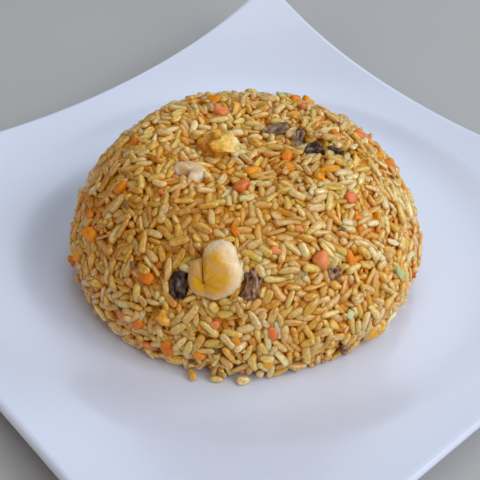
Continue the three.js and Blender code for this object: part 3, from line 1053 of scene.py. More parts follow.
@dataclass
class RiceBed:
    """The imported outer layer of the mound: rice grains, with dice and flakes among them."""

    mould: Mould
    count: int = 5400
    loose: int = 3
    shell: float = 6.6 * MM
    length: "tuple[float, float]" = (6.4 * MM, 9.8 * MM)
    width: "tuple[float, float]" = (2.8 * MM, 3.6 * MM)
    press: float = 0.70
    rounds: int = 90
    # Depth under the skin at which a grain's painted amber shade is full.
    shade_depth: float = 2.5 * MM
    spill: "tuple[float, float, float]" = (-50.0, 26.0, 2.4 * MM)
    # Patches of painted shade on the mound's shaded left side: bearing in degrees, reach and spread in
    # millimetres, and strength.
    shade_patches: "tuple[tuple[float, float, float, float], ...]" = (
        (-84.0, 64.0, 36.0, 0.26), (-125.0, 90.0, 34.0, 0.18)
    )
    layers: int = 3
    seed: int = 5
    grains: Capsules = field(init=False)

    def scatter(self) -> Capsules:
        """Lay the grains at random through the layer, mostly along the skin."""
        rng = np.random.default_rng(self.seed)
        number = np.arange(self.count)
        layer = number % self.layers
        turn_share = number / self.count + rng.uniform(-0.5, 0.5, self.count) / self.count
        reach = self.mould.reach_at(turn_share)
        golden = math.pi * (3 - math.sqrt(5))
        bearing = (number // self.layers) * golden + layer * 2.1 + rng.normal(0, 0.01, self.count)
        radius = np.interp(reach, self.mould.reach, self.mould.curve[:, 0])
        rise = np.interp(reach, self.mould.reach, self.mould.curve[:, 1])
        spot = np.stack([radius * np.cos(bearing), radius * np.sin(bearing), rise], 1) + self.mould.centre
        _, outward = self.mould.depth(spot)
        deep = (layer + rng.uniform(0.2, 0.8, self.count)) / self.layers * self.shell
        level = unit(np.cross(outward, np.array([0.3, 0.2, 1.0]) + 0 * outward))
        other = np.cross(outward, level)
        turn = rng.uniform(0, math.pi, self.count)
        lift = rng.normal(0, 0.6, self.count)
        axis = unit(level * np.cos(turn)[:, None] + other * np.sin(turn)[:, None] + outward * lift[:, None])
        wide = rng.uniform(*self.width, self.count) / 2
        long = rng.uniform(*self.length, self.count) * rng.choice([1.0, 0.72], self.count, p=[0.86, 0.14])
        proud = np.clip(rng.normal(-0.5 * MM, 1.0 * MM, self.count), -2.2 * MM, 1.3 * MM)
        facing, spread, spilt = self.spill
        aside = (np.degrees(bearing) - facing + 180.0) % 360.0 - 180.0
        at_foot = np.clip((reach / self.mould.length - 0.78) / 0.2, 0, 1)
        proud += spilt * at_foot * np.exp(-((aside / spread) ** 2))
        return Capsules(
            centre=spot - outward * deep[:, None],
            axis=axis,
            half=np.maximum(long / 2 - wide, 0.2 * MM),
            radius=wide,
            freedom=np.ones(self.count),
            proud=proud,
        )

    def dropped(self) -> Capsules:
        """Drop the loose grains on the dish, just clear of the mound's spilt foot."""
        rng = np.random.default_rng(self.seed + 2)
        bearing = np.radians(self.spill[0] + rng.normal(0, self.spill[1], self.loose))
        turn = rng.uniform(0, math.pi, self.loose)
        wide = rng.uniform(*self.width, self.loose) / 2
        still = np.zeros(self.loose)
        away = np.stack([np.cos(bearing), np.sin(bearing), still], 1)
        centre = self.mould.centre + away * (self.mould.curve[:, 0].max() + 1.5 * MM)
        centre[:, 2] += 0.86 * wide
        axis = np.stack([np.cos(turn), np.sin(turn), still], 1)
        return Capsules(centre, axis, rng.uniform(0.4 * MM, 2.4 * MM, self.loose), wide, still, still)

    def pack(self, fixed: "list[Capsules]") -> None:
        """Pack the grains round what is already in place.

        Args:
            fixed: Toppings and dice that don't move.
        """
        grains = Capsules.joined([self.scatter(), self.dropped()])
        pile = Capsules.joined([grains, *fixed])
        pile.settle(self.mould, self.shell, self.rounds, self.press)
        kept = slice(0, len(grains.centre))
        self.grains = Capsules(
            pile.centre[kept],
            pile.axis[kept],
            pile.half[kept],
            pile.radius[kept],
            pile.freedom[kept],
            pile.proud[kept],
        )

    def broad_patches(self, centre: np.ndarray) -> np.ndarray:
        """Measure how much painted shade darkens each grain, in patches on the mound's shaded left side.

        Args:
            centre: The grains' middles.

        Returns:
            How much darker each is, from 0 up.
        """
        darker = np.zeros(len(centre))
        for bearing, reach, spread, strength in self.shade_patches:
            spot = self.mould.frame_at(bearing, reach * MM)[0]
            darker += strength * np.exp(-((centre - spot) ** 2).sum(1) / (spread * MM) ** 2)
        return darker

    @staticmethod
    def uneven(points: np.ndarray, count: int, rng: np.random.Generator) -> np.ndarray:
        """Give every grain its own taper, bend and dents.

        Args:
            points: The plain grain, with half length and radius of one.
            count: How many grains.
            rng: Random numbers.

        Returns:
            The points of each grain.
        """
        x, y, z = (column[None, :] for column in points.T)
        taper, bend, squash = (rng.normal(0, spread, (count, 1)) for spread in (0.12, 0.09, 0.10))
        phase, turn = rng.uniform(0, math.tau, (count, 1)), rng.uniform(0, math.tau, (count, 1))
        girth = 1 + taper * x + 0.04 * np.sin(4.0 * x + phase) + 0.06 * np.sin(3 * np.arctan2(z, y) + turn)
        return np.stack([x + 0 * girth, y * girth + bend * (x * x - 0.3), z * girth * (1 + squash)], -1)

    def grain_facets(self, chosen: np.ndarray, shape: GrainShape, tone: np.ndarray) -> Facets:
        """Turn capsules into grains.

        Args:
            chosen: Which capsules.
            shape: The grain to use for them.
            tone: Lightness of each.

        Returns:
            The grains' facets.
        """
        rng = np.random.default_rng(self.seed + len(chosen))
        points, triangles, distance = shape.build()
        bed = self.grains
        axis, centre = bed.axis[chosen], bed.centre[chosen]
        _, outward = self.mould.depth(centre)
        across = unit(np.cross(outward, axis) + 1e-5)
        over = np.cross(axis, across)
        roll = rng.normal(0, 0.6, len(chosen))[:, None] + math.pi * rng.integers(0, 2, len(chosen))[:, None]
        side = across * np.cos(roll) + over * np.sin(roll)
        up = np.cross(axis, side)
        scale = np.stack(
            [bed.half[chosen] + bed.radius[chosen], bed.radius[chosen] * 1.04, bed.radius[chosen]], 1
        )
        local = self.uneven(points, len(chosen), rng) * scale[:, None, :]
        basis = np.stack([axis, side, up], 1)
        placed = np.einsum("npk,nkc->npc", local, basis) + centre[:, None, :]
        placed = placed.reshape(-1, 3)
        placed[:, 2] = np.clip(placed[:, 2], self.mould.centre[2], CAD_BOX[1].z - 0.3 * MM)
        offsets = np.arange(len(chosen))[:, None, None] * len(points)
        colour = np.ones((len(chosen), len(points), 4))
        # Red tone: each grain's own lightness, less the painted shade of the patches on the left side.
        colour[:, :, 0] = (tone - self.broad_patches(centre))[:, None]
        # Green tone: painted shade, growing with depth under the skin.
        deep = np.concatenate([self.mould.depth(some)[0] for some in np.array_split(placed, 24)])
        colour[:, :, 1] = np.clip(-deep / self.shade_depth, 0, 1).reshape(len(chosen), -1)
        colour[:, :, 2] = distance[None, :]
        return Facets(placed, (triangles[None] + offsets).reshape(-1, 3), colour.reshape(-1, 4))

    def dress(self, effects: SharedEffects) -> None:
        """Make one joined piece for each kind of grain.

        Args:
            effects: The shared node groups.
        """
        rng = np.random.default_rng(self.seed + 1)
        shapes = [
            GrainShape(bluntness=3.0, bend=0.02, flat_side=0.6),
            GrainShape(bluntness=4.6, bend=0.05, lean=0.10),
            GrainShape(bluntness=2.6, bend=0.0, lean=-0.16, flat_side=0.75),
            GrainShape(bluntness=5.5, bend=0.03, flatness=0.76),
            GrainShape(bluntness=7.5, bend=0.015, lean=0.06, flat_side=0.5),
        ]
        shares = np.array([tone.value[1] for tone in Tone])
        kind = rng.choice(len(Tone), self.count + self.loose, p=shares / shares.sum())
        shaped = rng.integers(0, len(shapes), len(kind))
        for number, tone in enumerate(Tone):
            name, _, deep, body, light = tone.value
            parts = []
            for which, shape in enumerate(shapes):
                chosen = np.flatnonzero((kind == number) & (shaped == which))
                shade = np.clip(rng.normal(0.52, 0.12, len(chosen)), 0.02, 0.98)
                parts.append(self.grain_facets(chosen, shape, shade))
            piece = Facets.joined(parts).to_object(name)
            finish = RiceFinish(name=name, deep=deep, body=body, light=light)
            hand_over(piece, finish.build(effects), "rice", "rice_mound")


@dataclass
class RiceCore:
    """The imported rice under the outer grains, with grain-sized relief."""

    mould: Mould
    sunk: float = 3.6 * MM
    relief: float = 0.9 * MM
    spokes: int = 160
    rings: int = 70

    def build(self) -> Facets:
        """Make the core as one closed surface.

        Returns:
            Its facets.
        """
        reach = np.linspace(0.02, 1.0, self.rings) * self.mould.length
        around = np.arange(self.spokes) * 2 * math.pi / self.spokes
        radius, rise, across, up = (
            np.interp(reach, self.mould.reach, column)[:, None] for column in (
                *self.mould.curve.T, *self.mould.normals.T
            )
        )
        grid = np.stack(
            [np.cos(around)[None] * radius, np.sin(around)[None] * radius, rise + 0 * around[None]], -1
        )
        bumps = np.array([[noise.noise(Vector(p) * 420.0) for p in row] for row in grid])
        sink = self.sunk + self.relief * bumps
        out = radius - across * sink
        height = np.maximum(rise - up * sink, 0.0)
        height[-1] = 0.0
        rings = np.stack([np.cos(around) * out, np.sin(around) * out, height], -1).reshape(-1, 3)
        top = np.array([[0.0, 0.0, self.mould.curve[0, 1] - self.sunk]])
        points = np.concatenate([top, rings, [[0.0, 0.0, 0.0]]]) + self.mould.centre
        return Facets(points, ring_triangles(self.rings, self.spokes), np.ones((len(points), 4)))

    def dress(self, material: bpy.types.Material) -> None:
        """Build the core and give it its finish."""
        hand_over(self.build().to_object("rice_core"), material, "rice", "rice_mound")


# ------------------------------------------------------------ dice and flakes
@dataclass(frozen=True)
class Spot:
    """A small piece's place on the mound: bearing and turn in degrees, sizes in millimetres, and paleness."""

    bearing: float
    reach: float
    length: float
    width: float
    turn: float
    pale: float = 0.35


@dataclass
class Cuttings:
    """Small pieces of one kind, scattered evenly over the mound and clear of its toppings."""

    mould: Mould
    name: str
    count: int
    length: "tuple[float, float]" = (3.4, 7.4)
    slimness: "tuple[float, float]" = (0.5, 0.95)
    thickness: float = 0.8
    squareness: float = 5.0
    roughness: float = 0.22
    clear: float = 1.0 * MM
    sink: float = 0.3
    hug: float = 0.7
    seed: int = 11
    frames: "list[tuple[np.ndarray, np.ndarray, np.ndarray, float]]" = field(init=False)

    def __post_init__(self) -> None:
        """Choose every place, turn and size."""
        rng = np.random.default_rng(self.seed)
        spots: "list[Spot]" = []
        while len(spots) < self.count:
            reach = self.mould.reach_at(rng.uniform(0.0, 0.97)) / MM
            length, slim = rng.uniform(*self.length), rng.uniform(*self.slimness)
            bearing, turn = rng.uniform(0, 360), rng.uniform(0, 180)
            if not self.on_topping(self.mould.frame_at(bearing, reach * MM)[0]):
                spots.append(Spot(bearing, reach, length, length * slim, turn, rng.uniform(0.1, 0.7)))
        self.frames = []
        for spot in spots:
            place, level, up_slope, outward = self.mould.frame_at(spot.bearing, spot.reach * MM)
            turn = math.radians(spot.turn)
            tip, roll = rng.normal(0, 0.14), rng.normal(0, 0.22)
            along = unit(level * math.cos(turn) + up_slope * math.sin(turn) + outward * tip)
            beside = unit(np.cross(outward, along))
            over = unit(np.cross(along, beside) + beside * roll)
            basis = np.stack([along, np.cross(over, along), over])
            half = np.array([spot.length, spot.width, spot.width * self.thickness]) * MM / 2
            centre = place - outward * half[2] * 2 * self.sink
            centre[2] = max(centre[2], self.mould.centre[2] + 0.9 * half[1])
            self.frames.append((centre, basis, half, spot.pale))

    def on_topping(self, place: np.ndarray) -> bool:
        """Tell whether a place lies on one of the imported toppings."""
        boxes = [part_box(node) for node in frame["nodes"] if node not in ("dish", "rice_mound")]
        return any(
            (place > np.array(low) - self.clear).all() and (place < np.array(high) + self.clear).all()
            for low, high in boxes
        )

    def capsules(self) -> Capsules:
        """Give the pieces as round-ended fixed bodies for the packing."""
        half = np.array([frame[2] for frame in self.frames])
        radius = self.hug * np.sqrt(half[:, 1] * half[:, 2])
        still = np.zeros(len(half))
        return Capsules(
            centre=np.array([frame[0] for frame in self.frames]),
            axis=np.array([frame[1][0] for frame in self.frames]),
            half=np.maximum(self.hug * half[:, 0] - radius, 1e-5),
            radius=radius,
            freedom=still,
            proud=still,
        )

    def build(self) -> Facets:
        """Make the pieces: small cut blocks with soft corners and uneven faces.

        Returns:
            Their facets.
        """
        rng = np.random.default_rng(self.seed + 1)
        rings, sides = 9, 14
        polar = np.linspace(0, math.pi, rings + 2)[1:-1]
        around = np.arange(sides) * math.tau / sides
        ball = np.stack(
            [
                np.sin(polar)[:, None] * np.cos(around),
                np.sin(polar)[:, None] * np.sin(around),
                np.cos(polar)[:, None] + 0 * around,
            ],
            -1,
        ).reshape(-1, 3)
        ball = np.concatenate([[[0.0, 0.0, 1.0]], ball, [[0.0, 0.0, -1.0]]])
        block = ball / (np.abs(ball) ** self.squareness).sum(1, keepdims=True) ** (1 / self.squareness)
        parts = []
        for centre, basis, half, pale in self.frames:
            waves = rng.normal(0, 2.4, (3, 3))
            phase = rng.uniform(0, math.tau, 3)
            swell = 1 + self.roughness * np.sin(ball @ waves.T + phase).mean(1)
            skew = np.eye(3) + rng.normal(0, 0.12, (3, 3))
            placed = (block * swell[:, None] * half) @ skew @ basis + centre
            placed[:, 2] = np.maximum(placed[:, 2], self.mould.centre[2])
            tone = np.ones((len(ball), 4))
            tone[:, 0] = np.clip(pale + rng.normal(0, 0.08), 0, 1)
            parts.append(Facets(placed, ring_triangles(rings, sides), tone))
        return Facets.joined(parts)

    def dress(self, material: bpy.types.Material, slot: str) -> None:
        """Build the pieces and give them their finish."""
        hand_over(self.build().to_object(self.name), material, slot)


# ------------------------------------------------------------ toppings
@dataclass
class Shrimp:
    """A peeled shrimp curled so tight that head and tail meet, with segments along its back."""

    mould: Mould
    node: str
    outline: "tuple[tuple[float, float], ...]"
    thickness: float
    segments: int
    bearing: float
    reach: float
    sink: float
    turn: float = 0.0
    tip: float = 0.0
    spine_share: float = 0.505
    belly_fullness: float = 0.3
    # How pale the back is, partly a painted highlight.
    pale_back_and_highlight: float = 1.0
    turns: int = 130
    sides: int = 48

    def outer(self, share: np.ndarray) -> np.ndarray:
        """Give the distance from the eye of the curl to the back.

        Args:
            share: From 0 at the head end to 1 at the tail.

        Returns:
            Distances in metres.
        """
        line = smooth_through(np.array(self.outline), 24)
        return np.interp(self.bearings(share), line[::-1, 0], line[::-1, 1]) * MM

    def bearings(self, share: np.ndarray) -> np.ndarray:
        """Give the bearings from the eye of the curl, in degrees from the shrimp's own X."""
        head, tail = self.outline[0][0], self.outline[-1][0]
        return head + (tail - head) * share

    def directions(self, share: np.ndarray) -> np.ndarray:
        """Give the directions from the eye of the curl, in the shrimp's own frame."""
        angle = np.radians(self.bearings(share))
        return np.stack([np.cos(angle), np.sin(angle), 0 * angle], -1)

    def rounding(self, share: np.ndarray) -> np.ndarray:
        """Give how full the body is along its length: blunt ends, drawn in a little between segments."""
        phase = self.segments * share
        pinch = 1 - 0.05 * np.exp(-(((phase - np.round(phase)) / 0.12) ** 2))
        return pinch * np.sqrt(np.maximum(1 - np.abs(2 * share - 1) ** 24, 0.0))

    def build(self) -> Facets:
        """Make the body as one closed surface.

        Returns:
            Its facets, with tone for paleness of the back and for staining.
        """
        share = np.sin(np.linspace(-1, 1, self.turns + 2)[1:-1] * math.pi / 2) / 2 + 0.5
        away = self.directions(share)
        outer = self.outer(share)[:, None]
        round_off = self.rounding(share)[:, None]
        angle = np.arange(self.sides) * math.tau / self.sides
        inward = -np.cos(angle)[None]
        groove = 1 - 0.05 * np.exp(-((1 + inward) / 0.03))
        full = np.where(inward > 0, self.belly_fullness, 1.0)
        lift = np.sign(np.sin(angle)) * np.abs(np.sin(angle)) ** full
        width = outer * (1 - self.spine_share) * round_off * groove
        height = self.thickness * np.sqrt(outer / outer.mean()) * round_off * groove
        upwards = np.array([0.0, 0.0, 1.0])
        rings = (
            away[:, None] * (outer * self.spine_share - inward * width)[..., None]
            + upwards * (height * lift)[..., None]
        )
        ends = np.array([0.0, 1.0])
        caps = self.directions(ends) * (self.outer(ends) * self.spine_share)[:, None]
        local = np.concatenate([caps[:1], rings.reshape(-1, 3), caps[1:]])
        layers = ((230.0, 1.0), (620.0, 0.5), (1500.0, 0.22))
        bumps = np.array(
            [sum(share * noise.noise(Vector(p) * rate) for rate, share in layers) for p in local]
        )
        local = local * (1 + 0.055 * bumps[:, None])
        # Red tone: paler on the outer back towards the head, partly a painted highlight.
        back = np.clip(-inward * 1.5 - 0.35, 0, 1) * (1 - 0.85 * share[:, None]) * self.pale_back_and_highlight
        tone = np.ones((len(local), 4))
        tone[1:-1, 0] = back.ravel()
        tone[1:-1, 1] = np.clip(1.0 - 0.75 * np.clip(-inward, 0, 1) - 0.35 * share[:, None], 0, 1).ravel()
        pose = np.array(self.mould.pose(self.bearing, self.reach, self.sink, self.turn, self.tip))
        points = local @ pose[:3, :3].T + pose[:3, 3]
        points[:, 2] = np.maximum(points[:, 2], self.mould.centre[2])
        return Facets(points, ring_triangles(self.turns, self.sides), tone)

    def capsules(self) -> Capsules:
        """Give the body as a ring of fixed balls for the packing, with one more at the eye."""
        share = np.linspace(0.03, 0.97, 16)
        outer = self.outer(share)
        pose = np.array(self.mould.pose(self.bearing, self.reach, self.sink, self.turn, self.tip))
        local = np.concatenate([self.directions(share) * (outer * 0.56)[:, None], np.zeros((1, 3))])
        count = len(local)
        return Capsules(
            centre=local @ pose[:3, :3].T + pose[:3, 3],
            axis=np.tile([[1.0, 0.0, 0.0]], (count, 1)),
            half=np.full(count, 1e-5),
            radius=np.concatenate([outer * 0.42, [outer.mean() * 0.3]]),
            freedom=np.zeros(count),
            proud=np.zeros(count),
        )

    def dress(self, material: bpy.types.Material) -> None:
        """Build the shrimp and give it its finish."""
        hand_over(self.build().to_object(self.node + "_flesh"), material, "shrimp", self.node)


@dataclass(frozen=True)
class Relief:
    """How a lump's skin rises and falls: broad lobes, and folds or torn fibres on them."""

    broad: float
    broad_rate: float
    fine: float
    fine_rate: float
    stretch: float
    ridged: bool

    def at(self, place: Vector) -> "tuple[float, float]":
        """Measure the relief at a place in the lump's own frame.

        Args:
            place: Place, with X along the lump's length.

        Returns:
            Height above the plain skin in metres, and how high it is among the folds from 0 to 1.
        """
        drawn = Vector((place.x * self.stretch, place.y, place.z)) * self.fine_rate
        fold = noise.noise(drawn) + 0.45 * noise.noise(drawn * 2.3)
        if self.ridged:
            fold = 0.75 - 2.2 * abs(fold)
        lobe = noise.noise(place * self.broad_rate) - 0.4
        return self.broad * lobe + self.fine * (fold - 0.4), min(
            1.0, max(0.0, 0.6 + 0.55 * fold + 0.25 * lobe)
        )


EGG_RELIEF = Relief(
    broad=2.2 * MM, broad_rate=190.0, fine=0.9 * MM, fine_rate=360.0, stretch=0.8, ridged=False
)
MEAT_RELIEF = Relief(
    broad=1.9 * MM, broad_rate=210.0, fine=1.0 * MM, fine_rate=380.0, stretch=0.35, ridged=True
)


@dataclass
class Lump:
    """A lump of egg or meat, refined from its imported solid."""

    node: str
    slot: str
    relief: Relief
    pale_side: "tuple[float, float, float]" = (0.0, 0.0, 1.0)
    gold: float = 0.0
    cell: float = 0.35 * MM
    inset: float = 0.4 * MM
    room: float = 0.8
    clear: float = 0.0

    def principal(self) -> "tuple[np.ndarray, np.ndarray, np.ndarray]":
        """Find the lump's middle, its axes, longest first, and its half lengths along them."""
        mesh = frame["nodes"][self.node].data
        points = np.zeros(len(mesh.vertices) * 3)
        mesh.vertices.foreach_get("co", points)
        points = points.reshape(-1, 3)
        middle = (points.max(0) + points.min(0)) / 2
        _, _, axes = np.linalg.svd(points - points.mean(0), full_matrices=False)
        spans = np.ptp((points - middle) @ axes.T, axis=0) / 2
        return middle, axes, spans

    def capsules(self) -> Capsules:
        """Give the lump as one fixed rod for the packing."""
        middle, axes, spans = self.principal()
        radius = self.room * math.sqrt(spans[1] * spans[2])
        mound = (Vector(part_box("rice_mound")[0]) + Vector(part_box("rice_mound")[1])) / 2
        outward = unit(middle - np.array(mound) + np.array([0.0, 0.0, 0.02]))
        return Capsules(
            centre=(middle + outward * self.clear)[None],
            axis=axes[:1],
            half=np.array([max(spans[0] - radius, 1e-5)]),
            radius=np.array([radius]),
            freedom=np.zeros(1),
            proud=np.zeros(1),
        )

    def dress(self, material: bpy.types.Material) -> None:
        """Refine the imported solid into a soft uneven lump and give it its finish.

        Args:
            material: The lump's finish.
        """
        middle, axes, _ = self.principal()
        if np.linalg.det(axes) < 0:
            axes = axes * np.array([[1.0], [1.0], [-1.0]])
        mesh = frame["nodes"][self.node].data.copy()
        piece = bpy.data.objects.new(self.node + "_fine", mesh)
        bpy.context.scene.collection.objects.link(piece)
        for kind, settings in (
            ("REMESH", {"mode": "VOXEL", "voxel_size": self.cell}),
            ("SMOOTH", {"factor": 0.6, "iterations": 26}),
        ):
            modifier = piece.modifiers.new(kind.lower(), kind)
            for key, value in settings.items():
                setattr(modifier, key, value)
        evaluated = piece.evaluated_get(bpy.context.evaluated_depsgraph_get())
        fine = bpy.data.meshes.new_from_object(evaluated)
        piece.modifiers.clear()
        piece.data = fine
        bpy.data.meshes.remove(mesh)
        fine.name = piece.name
        count = len(fine.vertices)
        points, normals = np.zeros(count * 3), np.zeros(count * 3)
        fine.vertices.foreach_get("co", points)
        fine.vertices.foreach_get("normal", normals)
        points, normals = points.reshape(-1, 3), normals.reshape(-1, 3)
        local = (points - middle) @ axes.T
        heights, folds = np.array([self.relief.at(Vector(p) + Vector(middle)) for p in local]).T
        placed = local + (normals @ axes.T) * (heights - self.inset)[:, None]
        world = placed @ axes
        world[:, 2] *= min(1.0, (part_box(self.node)[1].z - 0.3 * MM - middle[2]) / world[:, 2].max())
        placed = world @ axes.T if self.relief.ridged else world + middle
        fine.vertices.foreach_set("co", placed.astype(np.float32).ravel())
        tone = np.ones((count, 4))
        tone[:, 0] = folds
        side = (points - middle) @ unit(np.array(self.pale_side))
        tone[:, 1] = np.clip(0.5 - self.gold + 0.5 * side / np.abs(side).max(), 0, 1)
        layer = fine.color_attributes.new("tone", "FLOAT_COLOR", "POINT")
        layer.data.foreach_set("color", tone.astype(np.float32).ravel())
        fine.polygons.foreach_set("use_smooth", np.ones(len(fine.polygons), dtype=bool))
        fine.update()
        if self.relief.ridged:
            matrix = Matrix(axes.T.tolist()).to_4x4()
            matrix.translation = Vector(middle)
            piece.matrix_world = matrix
        hand_over(piece, material, self.slot, self.node)


# ------------------------------------------------------------ dish
@dataclass
class Dish:
    """The square glazed dish with raised corners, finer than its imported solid."""

    side_bow: float = 0.054
    corner_sharpness: float = 36.0
    side_rise: float = 8.0 * MM
    wing_start: float = 0.55
    wing_curve: float = 1.6
    tip_rise: float = 15.5 * MM
    tip_curve: float = 1.8
    well_radius: float = 93.0 * MM
    well_border: float = 32.0 * MM
    well_thickness: float = 5.5 * MM
    edge_thickness: float = 4.0 * MM
    foot_height: float = 2.5 * MM
    foot_outer: float = 86.0 * MM
    foot_width: float = 6.0 * MM
    foot_chamfer: float = 1.0 * MM
    half_side: float = 151.5 * MM
    side_steps: int = 64
    wing_steps: int = 40

    @property
    def well(self) -> float:
        """Height of the well above the table."""
        return self.foot_height + self.well_thickness

    def edge(self) -> np.ndarray:
        """Trace the edge in plan, with more points near the tips."""
        along = np.sin(np.linspace(-1, 1, self.side_steps, endpoint=False) * math.pi / 2)
        drawn_in = 1 - self.side_bow * (1 - along**2)
        soften = (1 + np.abs(along) ** self.corner_sharpness) ** (-1 / self.corner_sharpness)
        side = np.stack([drawn_in, along], 1) * (self.half_side * soften)[:, None]
        quarter = np.array([[0.0, 1.0], [-1.0, 0.0]])
        edge = np.concatenate([side @ np.linalg.matrix_power(quarter, turns) for turns in range(4)])
        return edge * (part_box("dish")[1].x / edge.max())

    def rise(self, plan: np.ndarray) -> np.ndarray:
        """Give the height of the upper surface above the well at places in plan."""
        u, v = np.abs(plan[..., 0]) / self.half_side, np.abs(plan[..., 1]) / self.half_side
        outwards = (u**4 + v**4) ** 0.25
        climb = np.maximum(0, (outwards - self.wing_start) / (1 - self.side_bow - self.wing_start))
        wing = self.side_rise * climb**self.wing_curve
        tip = self.tip_rise * (u * v) ** self.tip_curve
        gate = np.clip((np.linalg.norm(plan, axis=-1) - self.well_radius) / self.well_border, 0, 1)
        return (wing + tip) * gate * gate * (3 - 2 * gate)

    def build(self) -> Facets:
        """Make the dish as one closed surface.

        Returns:
            Its facets.
        """
        edge = self.edge()
        length = np.linalg.norm(edge, axis=1, keepdims=True)
        spoke = edge / length
        bead = self.edge_thickness / 2
        rings = []

        def flat(radius: float, z: float) -> None:
            """Add a level ring with the given radius and height."""
            rings.append(np.column_stack([spoke * radius, np.full(len(edge), z)]))

        def wing(share: float, outward: float, lift: float) -> None:
            """Add a ring on the rising part, moved outward and lifted from its skin."""
            plan = spoke * (self.well_radius + (length - bead - self.well_radius) * share)
            height = self.well + self.rise(plan) + lift
            rings.append(np.column_stack([plan + spoke * outward, height]))

        for share in np.linspace(0.2, 0.8, 4):
            flat(self.well_radius * share, self.well)
        for share in np.linspace(0, 1, self.wing_steps + 1):
            wing(share, 0.0, 0.0)
        for angle in np.linspace(0, math.pi, 14)[1:-1]:
            wing(1.0, bead * math.sin(angle), bead * (math.cos(angle) - 1))
        for share in np.linspace(1, 0, self.wing_steps // 2 + 1):
            wing(share, 0.0, -(self.well_thickness + (self.edge_thickness - self.well_thickness) * share))
        inner = self.foot_outer - self.foot_width
        flat(self.foot_outer + self.foot_chamfer, self.foot_height)
        flat(self.foot_outer, 0.0)
        flat(inner, 0.0)
        flat(inner - self.foot_chamfer, self.foot_height)
        points = np.concatenate([[[0.0, 0.0, self.well]], *rings, [[0.0, 0.0, self.foot_height]]])
        return Facets(points, ring_triangles(len(rings), len(edge)), np.ones((len(points), 4)))

    def dress(self, material: bpy.types.Material) -> None:
        """Build the dish and give it its glaze."""
        hand_over(self.build().to_object("dish_glazed"), material, "glaze", "dish")


# ------------------------------------------------------------ studio
@dataclass(frozen=True)
class Softbox:
    """A soft square light: metres to the camera's right, beyond the mound and above the table, and watts."""

    name: str
    side: float
    beyond: float
    up: float
    size: float
    power: float
    colour: "tuple[float, float, float]"


SOFTBOXES = (
    Softbox("window", 1.6, -1.4, 1.2, 1.6, 31.0, (1.0, 0.98, 0.96)),
    Softbox("pane", 1.3, -0.3, 1.6, 0.4, 6.0, (0.97, 0.98, 1.0)),
    Softbox("side", 2.0, 0.5, 0.9, 0.9, 16.0, (0.80, 0.91, 1.0)),
    Softbox("ceiling", 0.0, 0.0, 2.2, 1.8, 13.5, (0.90, 0.96, 1.0)),
    Softbox("back", 0.3, 2.0, 1.5, 1.3, 10.0, (0.76, 0.89, 1.0)),
    Softbox("fill", -1.6, -1.2, 0.9, 1.6, 11.5, (1.0, 0.82, 0.64)),
)


@dataclass
class Studio:
    """A plain pale floor, soft daylight from the right and the camera."""

    lens: float = 71.25
    azimuth: float = 48.3
    elevation: float = 39.8
    distance: float = 0.4446
    roll: float = 0.4
    room_colour: "tuple[float, float, float]" = (0.95, 0.97, 1.0)
    room_strength: float = 0.05
    aim: "tuple[float, float]" = (-1.9 * MM, -3.9 * MM)

    def floor(self) -> None:
        """Lay the floor under the dish."""
        mesh = bpy.data.meshes.new("floor")
        half = 3.0
        corners = [(-half, -half, 0.0), (half, -half, 0.0), (half, half, 0.0), (-half, half, 0.0)]
        mesh.from_pydata(corners, [], [(0, 1, 2, 3)])
        material = bpy.data.materials.new("floor_plain")
        material.use_nodes = True
        shader = material.node_tree.nodes["Principled BSDF"]
        shader.inputs["Base Color"].default_value = (0.46, 0.46, 0.47, 1.0)
        shader.inputs["Roughness"].default_value = 0.85
        mesh.materials.append(material)
        floor = bpy.data.objects.new("floor", mesh)
        bpy.context.scene.collection.objects.link(floor)
        floor.location.z = CAD_BOX[0].z - 0.0002

    def forward(self) -> Vector:
        """Give the direction in which the camera looks."""
        turn, tilt = math.radians(self.azimuth), math.radians(self.elevation)
        return Vector((-math.sin(turn) * math.cos(tilt), math.cos(turn) * math.cos(tilt), -math.sin(tilt)))

    def camera(self, well: float) -> None:
        """Stand the camera.

        Args:
            well: Height of the dish's well.
        """
        middle = (CAD_BOX[0] + CAD_BOX[1]) / 2
        data = bpy.data.cameras.new("camera")
        data.lens = self.lens
        data.sensor_width = 36.0
        camera = bpy.data.objects.new("camera", data)
        bpy.context.scene.collection.objects.link(camera)
        forward = self.forward()
        target = Vector((middle.x + self.aim[0], middle.y + self.aim[1], well))
        camera.location = target - forward * self.distance
        look = forward.to_track_quat("-Z", "Y").to_matrix().to_4x4()
        camera.rotation_euler = (look @ Matrix.Rotation(math.radians(self.roll), 4, "Z")).to_euler()
        bpy.context.scene.camera = camera

    def light(self, box: Softbox) -> None:
        """Hang a soft square light that faces the mound.

        Args:
            box: The light.
        """
        turn = math.radians(self.azimuth)
        right, beyond = Vector((math.cos(turn), math.sin(turn), 0)), Vector(
            (-math.sin(turn), math.cos(turn), 0)
        )
        data = bpy.data.lights.new(box.name, "AREA")
        data.size = box.size
        data.energy = box.power
        data.color = box.colour
        lamp = bpy.data.objects.new(box.name, data)
        bpy.context.scene.collection.objects.link(lamp)
        lamp.location = right * box.side + beyond * box.beyond + Vector((0, 0, box.up))
        lamp.rotation_euler = (-lamp.location).to_track_quat("-Z", "Y").to_euler()

    def set_up(self, well: float) -> None:
        """Build the whole studio.

        Args:
            well: Height of the dish's well.
        """
        self.camera(well)
        self.floor()
        for box in SOFTBOXES:
            self.light(box)
        world = bpy.data.worlds.new("room")
        world.use_nodes = True
        world.node_tree.nodes["Background"].inputs[0].default_value = (*self.room_colour, 1.0)
        world.node_tree.nodes["Background"].inputs[1].default_value = self.room_strength
        bpy.context.scene.world = world
        bpy.context.scene.view_settings.view_transform = "Standard"


